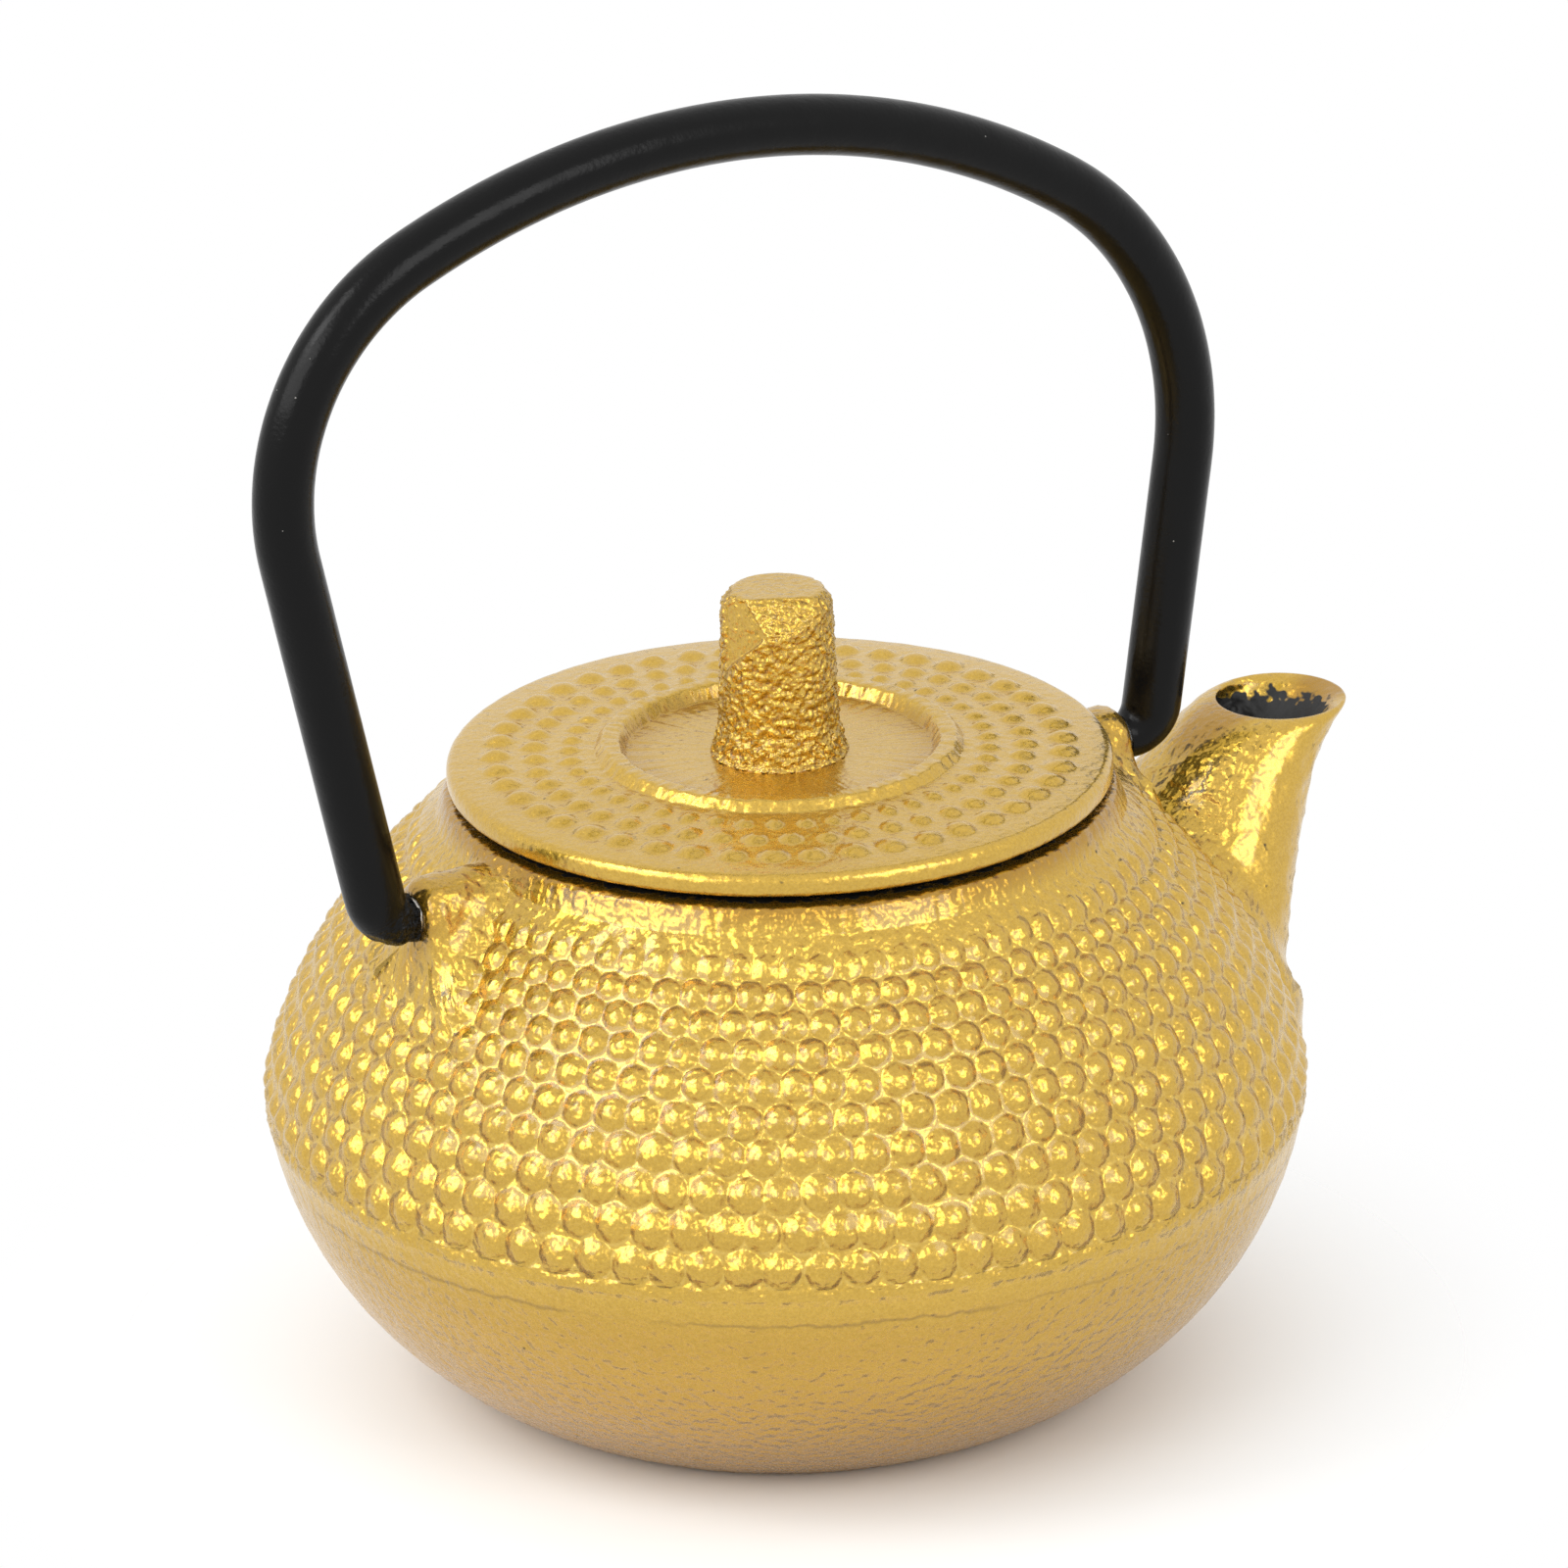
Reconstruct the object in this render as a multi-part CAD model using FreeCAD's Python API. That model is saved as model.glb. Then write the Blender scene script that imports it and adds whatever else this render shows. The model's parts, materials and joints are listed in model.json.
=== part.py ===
import FreeCAD, Part
import math
import os

# A miniature cast iron teapot: a pot with ears, a spout on its side, a lift-off lid with a
# riveted knob, a sleeved wire bail that swings in the ears, and a mesh basket in the mouth.
# Millimetres. The origin is the centre of the flat base, +Z is up and +X points along the spout.

# Pot: three tangent arcs make the side, from the base over the belly to the collar
body_radius = 35.0
belly_height = 20.2
belly_round = 8.0
shoulder_round = 36.3
shoulder_angle = 18.6
bowl_round = 24.8
bowl_angle = 9.3
wall = 2.2
floor_thickness = 2.6

# Collar and mouth
collar_foot_radius = 24.2
collar_height = 2.8
collar_batter = 2.0
collar_waist_height = 1.1
collar_waist_batter = 0.7
collar_edge_round = 0.6
collar_depth = 4.2
collar_land = 4.2
rebate_width = 2.0
rebate_depth = 1.0

# Spout: the reach, drop and inset place its lip and root from the belly and the collar
spout_reach = 5.35
spout_drop = 2.85
spout_inset = 7.0
spout_sink = 2.2
spout_lip_radius = 4.95
spout_lip_wall = 1.15
spout_root_length = 6.6
spout_root_width = 15.0
spout_bulge = 1.2
spout_bow = 0.75
spout_flare = 1.3
spout_sections = 7
bore_root_radius = 5.8
bore_shift = 3.0

# Ears that carry the bail
ear_width = 5.2
rear_ear_inset = 6.5
front_ear_inset = 7.9
ear_root_inset = 15.5
ear_foot = 5.2
ear_drop = 2.9
ear_edge_round = 1.0
ear_hole_depth = 3.6

# Bail: a steel wire in a plastic sleeve, bent in one plane
wire_diameter = 2.6
sleeve_diameter = 4.0
sleeve_fit = 0.05
sleeve_end_gap = 0.25
pivot_clearance = 0.08
pivot_end_gap = 0.4
bail_rise = 49.0
bail_end_bend = 2.4
rear_bend_offset = 0.5
front_bend_offset = 0.36
rear_lean = 12.6
front_lean = 8.8
rear_knee_round = 16.3
front_knee_round = 21.7
crown_round = 53.5
crown_shift = -6.45

# Lid
lid_inset = 0.1
lid_gap = 0.6
lid_rim_thickness = 1.5
lid_dome = 0.55
lid_edge_round = 0.4
lid_seat_width = 1.8
lid_seat_clearance = 0.4
lid_ring_radius = 11.2
lid_ring_width = 2.1
lid_ring_crest = 1.05
lid_ring_height = 0.55
lid_recess_depth = 0.25
lid_skirt_depth = 4.0
lid_skirt_wall = 1.5
lid_skirt_clearance = 0.4

# Knob with a tenon that is peened over under the lid
knob_height = 11.6
knob_foot_radius = 4.6
knob_foot_height = 1.1
knob_neck_height = 2.2
knob_waist_radius = 4.05
knob_head_radius = 3.75
knob_crown_radius = 2.9
knob_crown_height = 1.0
knob_round = 0.5
tenon_radius = 1.9
tenon_fit = 0.05
peen_radius = 3.0
peen_thickness = 0.9

# Basket
basket_clearance = 0.3
basket_sheet = 0.4
basket_fit = 0.05
basket_depth = 21.0
basket_flange = 0.6
basket_sleeve_height = 3.0
basket_pan_height = 1.8
mesh_top_gap = 0.5
mesh_hole_diameter = 1.5
mesh_hole_pitch = 2.75
mesh_hole_row = 2.4
mesh_margin = 1.2

# Places that follow from the sizes above
up = FreeCAD.Vector(0, 0, 1)


def polar(centre, radius, degrees):
    turn = math.radians(degrees)
    return (centre[0] + radius * math.cos(turn), centre[1] + radius * math.sin(turn))


belly_centre = (body_radius - belly_round, belly_height)
shoulder_centre = polar(belly_centre, belly_round - shoulder_round, shoulder_angle)
bowl_centre = polar(belly_centre, belly_round - bowl_round, -bowl_angle)
shoulder_run = collar_foot_radius - shoulder_centre[0]
collar_foot = shoulder_centre[1] + math.sqrt(shoulder_round ** 2 - shoulder_run ** 2)
collar_top = collar_foot + collar_height
collar_lip_radius = collar_foot_radius - collar_batter
rebate_radius = collar_lip_radius - collar_land
mouth_radius = rebate_radius - rebate_width
rebate_floor = collar_top - rebate_depth
ear_axis = collar_top - ear_drop
ear_face = {-1: body_radius - rear_ear_inset, 1: body_radius - front_ear_inset}
lid_under = collar_top + lid_gap
lid_radius = collar_lip_radius - lid_inset
lid_rim_top = lid_under + lid_rim_thickness
lid_ring_foot = lid_rim_top + lid_dome
lid_recess = lid_ring_foot - lid_recess_depth
basket_radius = mouth_radius - basket_clearance
mesh_outer = basket_radius - basket_sheet - basket_fit
mesh_inner = mesh_outer - basket_sheet
basket_bottom = rebate_floor - basket_depth


def spot(place):
    return FreeCAD.Vector(place[0], 0, place[1])


def line(start, end):
    return Part.LineSegment(spot(start), spot(end)).toShape()


def arc(centre, radius, start_angle, end_angle):
    middle = (start_angle + end_angle) / 2
    stations = [spot(polar(centre, radius, angle)) for angle in (start_angle, middle, end_angle)]
    return Part.Arc(*stations).toShape()


def toward(start, end):
    length = math.hypot(end[0] - start[0], end[1] - start[1])
    return ((end[0] - start[0]) / length, (end[1] - start[1]) / length)


def outline(corners):
    """Edges of a closed outline. Each corner is (x, z) or (x, z, round)."""
    starts = []
    ends = []
    rounds = []
    for index, corner in enumerate(corners):
        radius = corner[2] if len(corner) > 2 else 0
        if radius == 0:
            starts.append(corner[:2])
            ends.append(corner[:2])
            rounds.append(None)
            continue
        back = toward(corner, corners[index - 1])
        ahead = toward(corner, corners[(index + 1) % len(corners)])
        half = math.acos(back[0] * ahead[0] + back[1] * ahead[1]) / 2
        trim = radius / math.tan(half)
        middle = toward((0, 0), (back[0] + ahead[0], back[1] + ahead[1]))
        depth = radius / math.sin(half) - radius
        start = (corner[0] + back[0] * trim, corner[1] + back[1] * trim)
        end = (corner[0] + ahead[0] * trim, corner[1] + ahead[1] * trim)
        crest = (corner[0] + middle[0] * depth, corner[1] + middle[1] * depth)
        starts.append(start)
        ends.append(end)
        rounds.append(Part.Arc(spot(start), spot(crest), spot(end)).toShape())
    edges = []
    for index, turn in enumerate(rounds):
        if turn is not None:
            edges.append(turn)
        edges.append(line(ends[index], starts[(index + 1) % len(corners)]))
    return edges


def revolved(edges):
    face = Part.Face(Part.Wire(edges))
    return face.revolve(FreeCAD.Vector(0, 0, 0), up, 360)


def side_arcs(inset, bottom, top):
    """The pot's side from one height to another, moved in by the inset."""
    bowl = bowl_round - inset
    shoulder = shoulder_round - inset
    start = math.degrees(math.asin((bottom - bowl_centre[1]) / bowl))
    end = math.degrees(math.asin((top - shoulder_centre[1]) / shoulder))
    arcs = [
        arc(bowl_centre, bowl, start, -bowl_angle),
        arc(belly_centre, belly_round - inset, -bowl_angle, shoulder_angle),
        arc(shoulder_centre, shoulder, shoulder_angle, end),
    ]
    return arcs, polar(bowl_centre, bowl, start), polar(shoulder_centre, shoulder, end)


def pot_blank():
    arcs, base_edge, collar_edge = side_arcs(0, 0, collar_foot)
    waist = (collar_lip_radius + collar_waist_batter, collar_foot + collar_waist_height)
    lip = (collar_lip_radius, collar_top - collar_edge_round)
    land = (collar_lip_radius - collar_edge_round, collar_top)
    lip_centre = (land[0], lip[1])
    edges = [line((0, 0), base_edge)]
    edges += arcs
    edges += [
        line(collar_edge, waist),
        line(waist, lip),
        arc(lip_centre, collar_edge_round, 0, 90),
        line(land, (0, collar_top)),
        line((0, collar_top), (0, 0)),
    ]
    return revolved(edges)


def pot_cavity():
    ceiling = collar_top - collar_depth
    arcs, floor_edge, ceiling_edge = side_arcs(wall, floor_thickness, ceiling)
    above = collar_top + rebate_depth
    edges = [line((0, floor_thickness), floor_edge)]
    edges += arcs
    edges += [
        line(ceiling_edge, (mouth_radius, ceiling)),
        line((mouth_radius, ceiling), (mouth_radius, rebate_floor)),
        line((mouth_radius, rebate_floor), (rebate_radius, rebate_floor)),
        line((rebate_radius, rebate_floor), (rebate_radius, above)),
        line((rebate_radius, above), (0, above)),
        line((0, above), (0, floor_thickness)),
    ]
    return revolved(edges)


def level_oval(x, z, half_length, half_width):
    centre = FreeCAD.Vector(x, 0, z)
    longer = max(half_length, half_width)
    shorter = min(half_length, half_width)
    oval = Part.Ellipse(centre, longer, shorter).toShape()
    oval.rotate(centre, up, 90 if half_width > half_length else 0)
    return Part.Wire(oval)


def spout_loft(lip_radius, root_length, root_width, bulge, shift):
    """Level ovals from the lip down to the root, which is sunk in the belly."""
    lip = (body_radius + spout_reach, collar_top - spout_drop)
    root = (body_radius - spout_inset, belly_height - spout_sink)
    ovals = []
    for step in range(spout_sections):
        share = step / (spout_sections - 1)
        x = lip[0] + (root[0] - lip[0]) * share ** spout_bow - shift * share ** 2
        z = lip[1] + (root[1] - lip[1]) * share
        half_length = lip_radius + (root_length - lip_radius) * share + bulge * math.sin(math.pi * share)
        half_width = lip_radius + (root_width - lip_radius) * share ** spout_flare
        ovals.append(level_oval(x, z, half_length, half_width))
    return Part.makeLoft(ovals, True, False)


def spout():
    return spout_loft(spout_lip_radius, spout_root_length, spout_root_width, spout_bulge, 0)


def spout_bore():
    lip_radius = spout_lip_radius - spout_lip_wall
    return spout_loft(lip_radius, bore_root_radius, bore_root_radius, 0, bore_shift)


def ear(side):
    half = ear_width / 2
    root = side * (body_radius - ear_root_inset)
    foot = ear_axis - ear_foot
    left = FreeCAD.Vector(root, -half, ear_axis)
    right = FreeCAD.Vector(root, half, ear_axis)
    left_foot = FreeCAD.Vector(root, -half, foot)
    right_foot = FreeCAD.Vector(root, half, foot)
    crest = FreeCAD.Vector(root, 0, ear_axis + half)
    edges = [
        Part.LineSegment(left_foot, left).toShape(),
        Part.Arc(left, crest, right).toShape(),
        Part.LineSegment(right, right_foot).toShape(),
        Part.LineSegment(right_foot, left_foot).toShape(),
    ]
    length = side * ear_face[side] - root
    block = Part.Face(Part.Wire(edges)).extrude(FreeCAD.Vector(length, 0, 0))
    rounded = []
    for edge in block.Edges:
        middle = edge.CenterOfMass
        if abs(middle.x) > ear_face[side] - ear_edge_round and middle.z > foot + ear_edge_round:
            rounded.append(edge)
    return block.makeFillet(ear_edge_round, rounded)


def ear_hole(side):
    mouth = FreeCAD.Vector(side * (ear_face[side] + ear_hole_depth), 0, ear_axis)
    inward = FreeCAD.Vector(-side, 0, 0)
    return Part.makeCylinder(wire_diameter / 2 + pivot_clearance, 2 * ear_hole_depth, mouth, inward)


def pot_body():
    blank = pot_blank().fuse([ear(1), ear(-1)])
    body = blank.cut([pot_cavity(), spout_bore(), ear_hole(1), ear_hole(-1)])
    return body.removeSplitter().Solids[0]


def pot_spout():
    """The spout as far as it stands out of the pot's side."""
    tube = spout().cut([pot_blank(), ear(1), spout_bore()])
    return max(tube.Solids, key=lambda solid: solid.Volume)


def bail_side(side, bend_offset, lean, knee_round):
    """Bend, leg and knee of one side, and the angle where its knee meets the crown."""
    bend_x = side * (ear_face[side] + bend_offset)
    bend_centre = (bend_x, ear_axis + bail_end_bend)
    outward = -lean if side > 0 else 180 + lean
    leg_foot = polar(bend_centre, bail_end_bend, outward)
    climb = (side * math.sin(math.radians(lean)), math.cos(math.radians(lean)))
    crown = (crown_shift, ear_axis + bail_rise - crown_round)
    rail = polar(leg_foot, -knee_round, outward)
    gap = (rail[0] - crown[0], rail[1] - crown[1])
    along = gap[0] * climb[0] + gap[1] * climb[1]
    reach = (crown_round - knee_round) ** 2 - gap[0] ** 2 - gap[1] ** 2 + along ** 2
    rise = math.sqrt(reach) - along
    leg_top = (leg_foot[0] + climb[0] * rise, leg_foot[1] + climb[1] * rise)
    knee_centre = (rail[0] + climb[0] * rise, rail[1] + climb[1] * rise)
    join = math.degrees(math.atan2(knee_centre[1] - crown[1], knee_centre[0] - crown[0]))
    down = -90 if side > 0 else 270
    edges = [
        arc(bend_centre, bail_end_bend, down, outward),
        line(leg_foot, leg_top),
        arc(knee_centre, knee_round, outward, join),
    ]
    return edges, join


def bail_path(end_gap):
    """Centreline of the bail, from a straight end at end_gap outside one ear's face to the other."""
    rear, rear_join = bail_side(-1, rear_bend_offset, rear_lean, rear_knee_round)
    front, front_join = bail_side(1, front_bend_offset, front_lean, front_knee_round)
    crown = arc((crown_shift, ear_axis + bail_rise - crown_round), crown_round, rear_join, front_join)
    rear_end = line((-ear_face[-1] - end_gap, ear_axis), (-ear_face[-1] - rear_bend_offset, ear_axis))
    front_end = line((ear_face[1] + front_bend_offset, ear_axis), (ear_face[1] + end_gap, ear_axis))
    return Part.Wire([rear_end] + rear + [crown] + front[::-1] + [front_end])


def rod(end_gap, diameter):
    start = FreeCAD.Vector(-ear_face[-1] - end_gap, 0, ear_axis)
    section = Part.Wire(Part.makeCircle(diameter / 2, start, FreeCAD.Vector(-1, 0, 0)))
    return bail_path(end_gap).makePipeShell([section], True, False)


def bail_wire():
    return rod(pivot_end_gap - ear_hole_depth, wire_diameter)


def bail_sleeve():
    bore = rod(sleeve_end_gap, wire_diameter + 2 * sleeve_fit)
    return rod(sleeve_end_gap, sleeve_diameter).cut(bore)


def lid():
    seat_outer = rebate_radius + lid_seat_clearance + lid_seat_width
    seat_inner = rebate_radius + lid_seat_clearance
    skirt_outer = mesh_inner - lid_skirt_clearance
    skirt_inner = skirt_outer - lid_skirt_wall
    skirt_bottom = lid_under - lid_skirt_depth
    ring_outer = lid_ring_radius + lid_ring_width / 2
    ring_inner = lid_ring_radius - lid_ring_width / 2
    hole = tenon_radius + tenon_fit
    ring_top = lid_ring_foot + lid_ring_height
    corners = [
        (hole, lid_under),
        (skirt_inner, lid_under),
        (skirt_inner, skirt_bottom, lid_edge_round),
        (skirt_outer, skirt_bottom, lid_edge_round),
        (skirt_outer, lid_under),
        (seat_inner, lid_under),
        (seat_inner, collar_top),
        (seat_outer, collar_top),
        (seat_outer, lid_under),
        (lid_radius, lid_under, lid_edge_round),
        (lid_radius, lid_rim_top, lid_edge_round),
        (ring_outer, lid_ring_foot),
        (lid_ring_radius + lid_ring_crest / 2, ring_top, lid_edge_round),
        (lid_ring_radius - lid_ring_crest / 2, ring_top, lid_edge_round),
        (ring_inner, lid_recess),
        (hole, lid_recess),
    ]
    return revolved(outline(corners))


def lid_knob():
    crown_foot = lid_recess + knob_height - knob_crown_height
    peen_bottom = lid_under - peen_thickness
    corners = [
        (0, peen_bottom),
        (peen_radius, peen_bottom, knob_round),
        (peen_radius, lid_under),
        (tenon_radius, lid_under),
        (tenon_radius, lid_recess),
        (knob_foot_radius, lid_recess),
        (knob_foot_radius, lid_recess + knob_foot_height, knob_round),
        (knob_waist_radius, lid_recess + knob_neck_height, knob_round),
        (knob_head_radius, crown_foot, knob_round),
        (knob_crown_radius, lid_recess + knob_height, knob_round),
        (0, lid_recess + knob_height),
    ]
    return revolved(outline(corners))


def infuser_rim():
    flange_radius = rebate_radius - basket_clearance
    inner = basket_radius - basket_sheet
    bottom = rebate_floor - basket_sleeve_height
    top = rebate_floor + basket_flange
    corners = [
        (inner, bottom),
        (basket_radius, bottom),
        (basket_radius, rebate_floor),
        (flange_radius, rebate_floor),
        (flange_radius, top),
        (inner, top),
    ]
    return revolved(outline(corners))


def infuser_mesh():
    bottom = basket_bottom + basket_sheet
    top = rebate_floor - mesh_top_gap
    height = top - bottom
    base = FreeCAD.Vector(0, 0, bottom)
    tube = Part.makeCylinder(mesh_outer, height, base).cut(Part.makeCylinder(mesh_inner, height, base))
    low = basket_bottom + basket_pan_height + mesh_margin + mesh_hole_diameter / 2
    high = rebate_floor - basket_sleeve_height - mesh_margin - mesh_hole_diameter / 2
    rows = int((high - low) / mesh_hole_row) + 1
    around = int(2 * math.pi * mesh_outer / mesh_hole_pitch)
    drills = []
    for row in range(rows):
        for place in range(around):
            turn = 2 * math.pi * (place + 0.5 * (row % 2)) / around
            way = FreeCAD.Vector(math.cos(turn), math.sin(turn), 0)
            start = way * (mesh_inner - basket_sheet) + up * (low + row * mesh_hole_row)
            drills.append(Part.makeCylinder(mesh_hole_diameter / 2, 3 * basket_sheet, start, way))
    return tube.cut(drills)


def infuser_base():
    floor = basket_bottom + basket_sheet
    top = basket_bottom + basket_pan_height
    inner = mesh_outer + basket_fit
    corners = [
        (0, basket_bottom),
        (basket_radius, basket_bottom),
        (basket_radius, top),
        (inner, top),
        (inner, floor),
        (0, floor),
    ]
    return revolved(outline(corners))


makers = [pot_body, pot_spout, lid, lid_knob, bail_wire, bail_sleeve, infuser_rim, infuser_mesh, infuser_base]
os.makedirs("parts", exist_ok=True)
for maker in makers:
    shape = maker()
    shape.exportStep("parts/" + maker.__name__ + ".step")
    print(maker.__name__, len(shape.Solids), shape.isValid(), round(shape.Volume, 1))
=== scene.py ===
import bpy
import bmesh
import json
import math
from mathutils import Matrix, Vector, noise


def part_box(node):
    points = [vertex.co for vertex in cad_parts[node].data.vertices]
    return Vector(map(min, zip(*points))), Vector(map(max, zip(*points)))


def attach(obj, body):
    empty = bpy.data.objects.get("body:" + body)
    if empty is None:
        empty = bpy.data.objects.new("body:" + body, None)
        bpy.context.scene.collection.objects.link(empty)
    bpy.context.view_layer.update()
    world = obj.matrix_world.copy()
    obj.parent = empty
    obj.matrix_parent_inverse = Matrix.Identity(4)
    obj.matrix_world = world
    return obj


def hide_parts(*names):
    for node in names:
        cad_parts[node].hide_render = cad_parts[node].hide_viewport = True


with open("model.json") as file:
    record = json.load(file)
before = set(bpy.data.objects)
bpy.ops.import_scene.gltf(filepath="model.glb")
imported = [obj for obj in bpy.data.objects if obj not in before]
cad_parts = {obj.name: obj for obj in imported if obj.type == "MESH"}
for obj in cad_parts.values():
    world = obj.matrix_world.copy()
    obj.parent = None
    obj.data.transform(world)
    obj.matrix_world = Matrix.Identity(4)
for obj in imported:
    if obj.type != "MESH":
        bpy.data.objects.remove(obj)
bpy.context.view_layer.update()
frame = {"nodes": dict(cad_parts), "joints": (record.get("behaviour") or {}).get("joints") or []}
mm = 0.001
earAxis = next(joint for joint in frame["joints"] if joint["name"] == "bail_swing")["pos_m"][2] / mm
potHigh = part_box("pot_body")[1] / mm
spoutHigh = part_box("pot_spout")[1] / mm
lidLow, lidHigh = (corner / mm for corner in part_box("lid"))
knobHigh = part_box("lid_knob")[1] / mm


# Node trees: a Flow is a node's output that sums can be written with
class Flow:
    def __init__(self, tree, socket):
        self.tree = tree
        self.socket = socket

    def __add__(self, other):
        return calc(self.tree, "ADD", self, other)

    def __sub__(self, other):
        return calc(self.tree, "SUBTRACT", self, other)

    def __rsub__(self, other):
        return calc(self.tree, "SUBTRACT", other, self)

    def __mul__(self, other):
        return calc(self.tree, "MULTIPLY", self, other)

    def __truediv__(self, other):
        return calc(self.tree, "DIVIDE", self, other)

    def __rtruediv__(self, other):
        return calc(self.tree, "DIVIDE", other, self)

    def __pow__(self, other):
        return calc(self.tree, "POWER", self, other)


def feed(tree, socket, value):
    if isinstance(value, Flow):
        tree.links.new(value.socket, socket)
    else:
        socket.default_value = value


def feedAll(tree, node, values):
    for name, value in values.items():
        feed(tree, node.inputs[name], value)


def addNode(tree, kind, values=None, **settings):
    node = tree.nodes.new(kind)
    for name, value in settings.items():
        setattr(node, name, value)
    feedAll(tree, node, values or {})
    return node


def flow(tree, kind, values=None, output=0, **settings):
    return Flow(tree, addNode(tree, kind, values, **settings).outputs[output])


def outputsOf(tree, node):
    return {socket.name: Flow(tree, socket) for socket in node.outputs}


def calc(tree, operation, *values):
    node = addNode(tree, "ShaderNodeMath", operation=operation)
    for socket, value in zip(node.inputs, values):
        feed(tree, socket, value)
    return Flow(tree, node.outputs[0])


def splitVector(tree, vector):
    return outputsOf(tree, addNode(tree, "ShaderNodeSeparateXYZ", {"Vector": vector}))


def stretch(tree, value, low, high, toLow=0.0, toHigh=1.0, curve="LINEAR"):
    links = {"Value": value, "From Min": low, "From Max": high, "To Min": toLow, "To Max": toHigh}
    return flow(tree, "ShaderNodeMapRange", links, interpolation_type=curve)


def noiseAt(tree, place, scale, detail, roughness=0.5):
    links = {"Vector": place, "Scale": scale, "Detail": detail, "Roughness": roughness}
    return flow(tree, "ShaderNodeTexNoise", links)


# Pieces and meshes
def clamp(value, low=0.0, high=1.0):
    return min(high, max(low, value))


def addObject(name, data):
    piece = bpy.data.objects.new(name, data)
    bpy.context.scene.collection.objects.link(piece)
    return piece


def plainMesh(piece):
    depsgraph = bpy.context.evaluated_depsgraph_get()
    made = bpy.data.meshes.new_from_object(piece.evaluated_get(depsgraph))
    piece.modifiers.clear()
    piece.data = made


def newPiece(name, points, faces):
    mesh = bpy.data.meshes.new(name)
    mesh.from_pydata([Vector(point) * mm for point in points], [], faces)
    mesh.validate()
    return addObject(name, mesh)


def outwards(piece):
    shell = bmesh.new()
    shell.from_mesh(piece.data)
    bmesh.ops.remove_doubles(shell, verts=shell.verts, dist=1e-7)
    bmesh.ops.recalc_face_normals(shell, faces=shell.faces)
    shell.to_mesh(piece.data)
    shell.free()
    return piece


def smooth(piece, sharpAngle):
    piece.data.shade_smooth()
    piece.data.set_sharp_from_angle(angle=math.radians(sharpAngle))


def combine(piece, tool, operation):
    modifier = piece.modifiers.new("combine", "BOOLEAN")
    modifier.operation = operation
    modifier.solver = "MANIFOLD"
    modifier.object = tool
    plainMesh(piece)
    bpy.data.objects.remove(tool)


def storeList(mesh, name, values):
    mesh.attributes.new(name, "FLOAT", "POINT").data.foreach_set("value", values)


def storeValues(piece, name, valueAt):
    storeList(piece.data, name, [valueAt(vertex.co / mm) for vertex in piece.data.vertices])


def tubePiece(name, rings, closedEnds=True):
    columns = len(rings[0])
    points = [point for ring in rings for point in ring]
    faces = []
    for start in range(0, len(points) - columns, columns):
        for column in range(columns):
            after = start + (column + 1) % columns
            faces.append((start + column, after, after + columns, start + columns + column))
    if closedEnds:
        faces.append(tuple(reversed(range(columns))))
        faces.append(tuple(range(len(points) - columns, len(points))))
    return newPiece(name, points, faces)


def roundedPath(corners, steps=4):  # a corner is a spot and, where it is rounded, a radius
    path = []
    for index, corner in enumerate(corners):
        spot = Vector(corner[:2])
        radius = corner[2] if len(corner) > 2 else 0
        if radius == 0:
            path.append(tuple(spot))
            continue
        before = (Vector(corners[index - 1][:2]) - spot).normalized()
        after = (Vector(corners[(index + 1) % len(corners)][:2]) - spot).normalized()
        half = before.angle(after) / 2
        centre = spot + (before + after).normalized() * (radius / math.sin(half))
        first = spot + before * (radius / math.tan(half)) - centre
        last = spot + after * (radius / math.tan(half)) - centre
        turn = first.angle_signed(last)
        for step in range(steps + 1):
            path.append(tuple(centre + Matrix.Rotation(-turn * step / steps, 2) @ first))
    return path


def turned(degrees):
    return Vector((math.cos(math.radians(degrees)), math.sin(math.radians(degrees))))


def bearing(centre, spot):
    arm = spot - centre
    return math.degrees(math.atan2(arm.y, arm.x))


def circle(columns):
    turns = [math.tau * column / columns for column in range(columns)]
    return [(math.cos(turn), math.sin(turn)) for turn in turns]


def quarterTurns(steps):
    return [math.pi / 2 * step / steps for step in range(1, steps + 1)]


def lumpAt(point, form):
    return noise.fractal(point / form["lumpSize"], 0.8, 2.0, 3) * form["lumps"]


# Hobnail casting: a profile turned round the pot's axis, with rows of domes that stand on it
hobnailInputs = {
    "NodeSocketGeometry": ("Profile",),
    "NodeSocketInt": ("Columns", "Rows", "Domes Around", "Seed"),
    "NodeSocketFloat": (
        "Dome Turn",
        "Dome Shape",
        "Dome Drift",
        "Dome Variety",
        "Ledge Height",
        "Lump Height",
        "Lump Size",
    ),
    "NodeSocketMaterial": ("Finish",),
}
castLumps = {"detail": 3.0, "roughness": 0.6}
tornEdge = {"scale": 1500.0, "detail": 2.0, "phaseReach": 0.9, "ledgePhases": (-0.06, 0.14)}
noDomeDistance = 9


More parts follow.
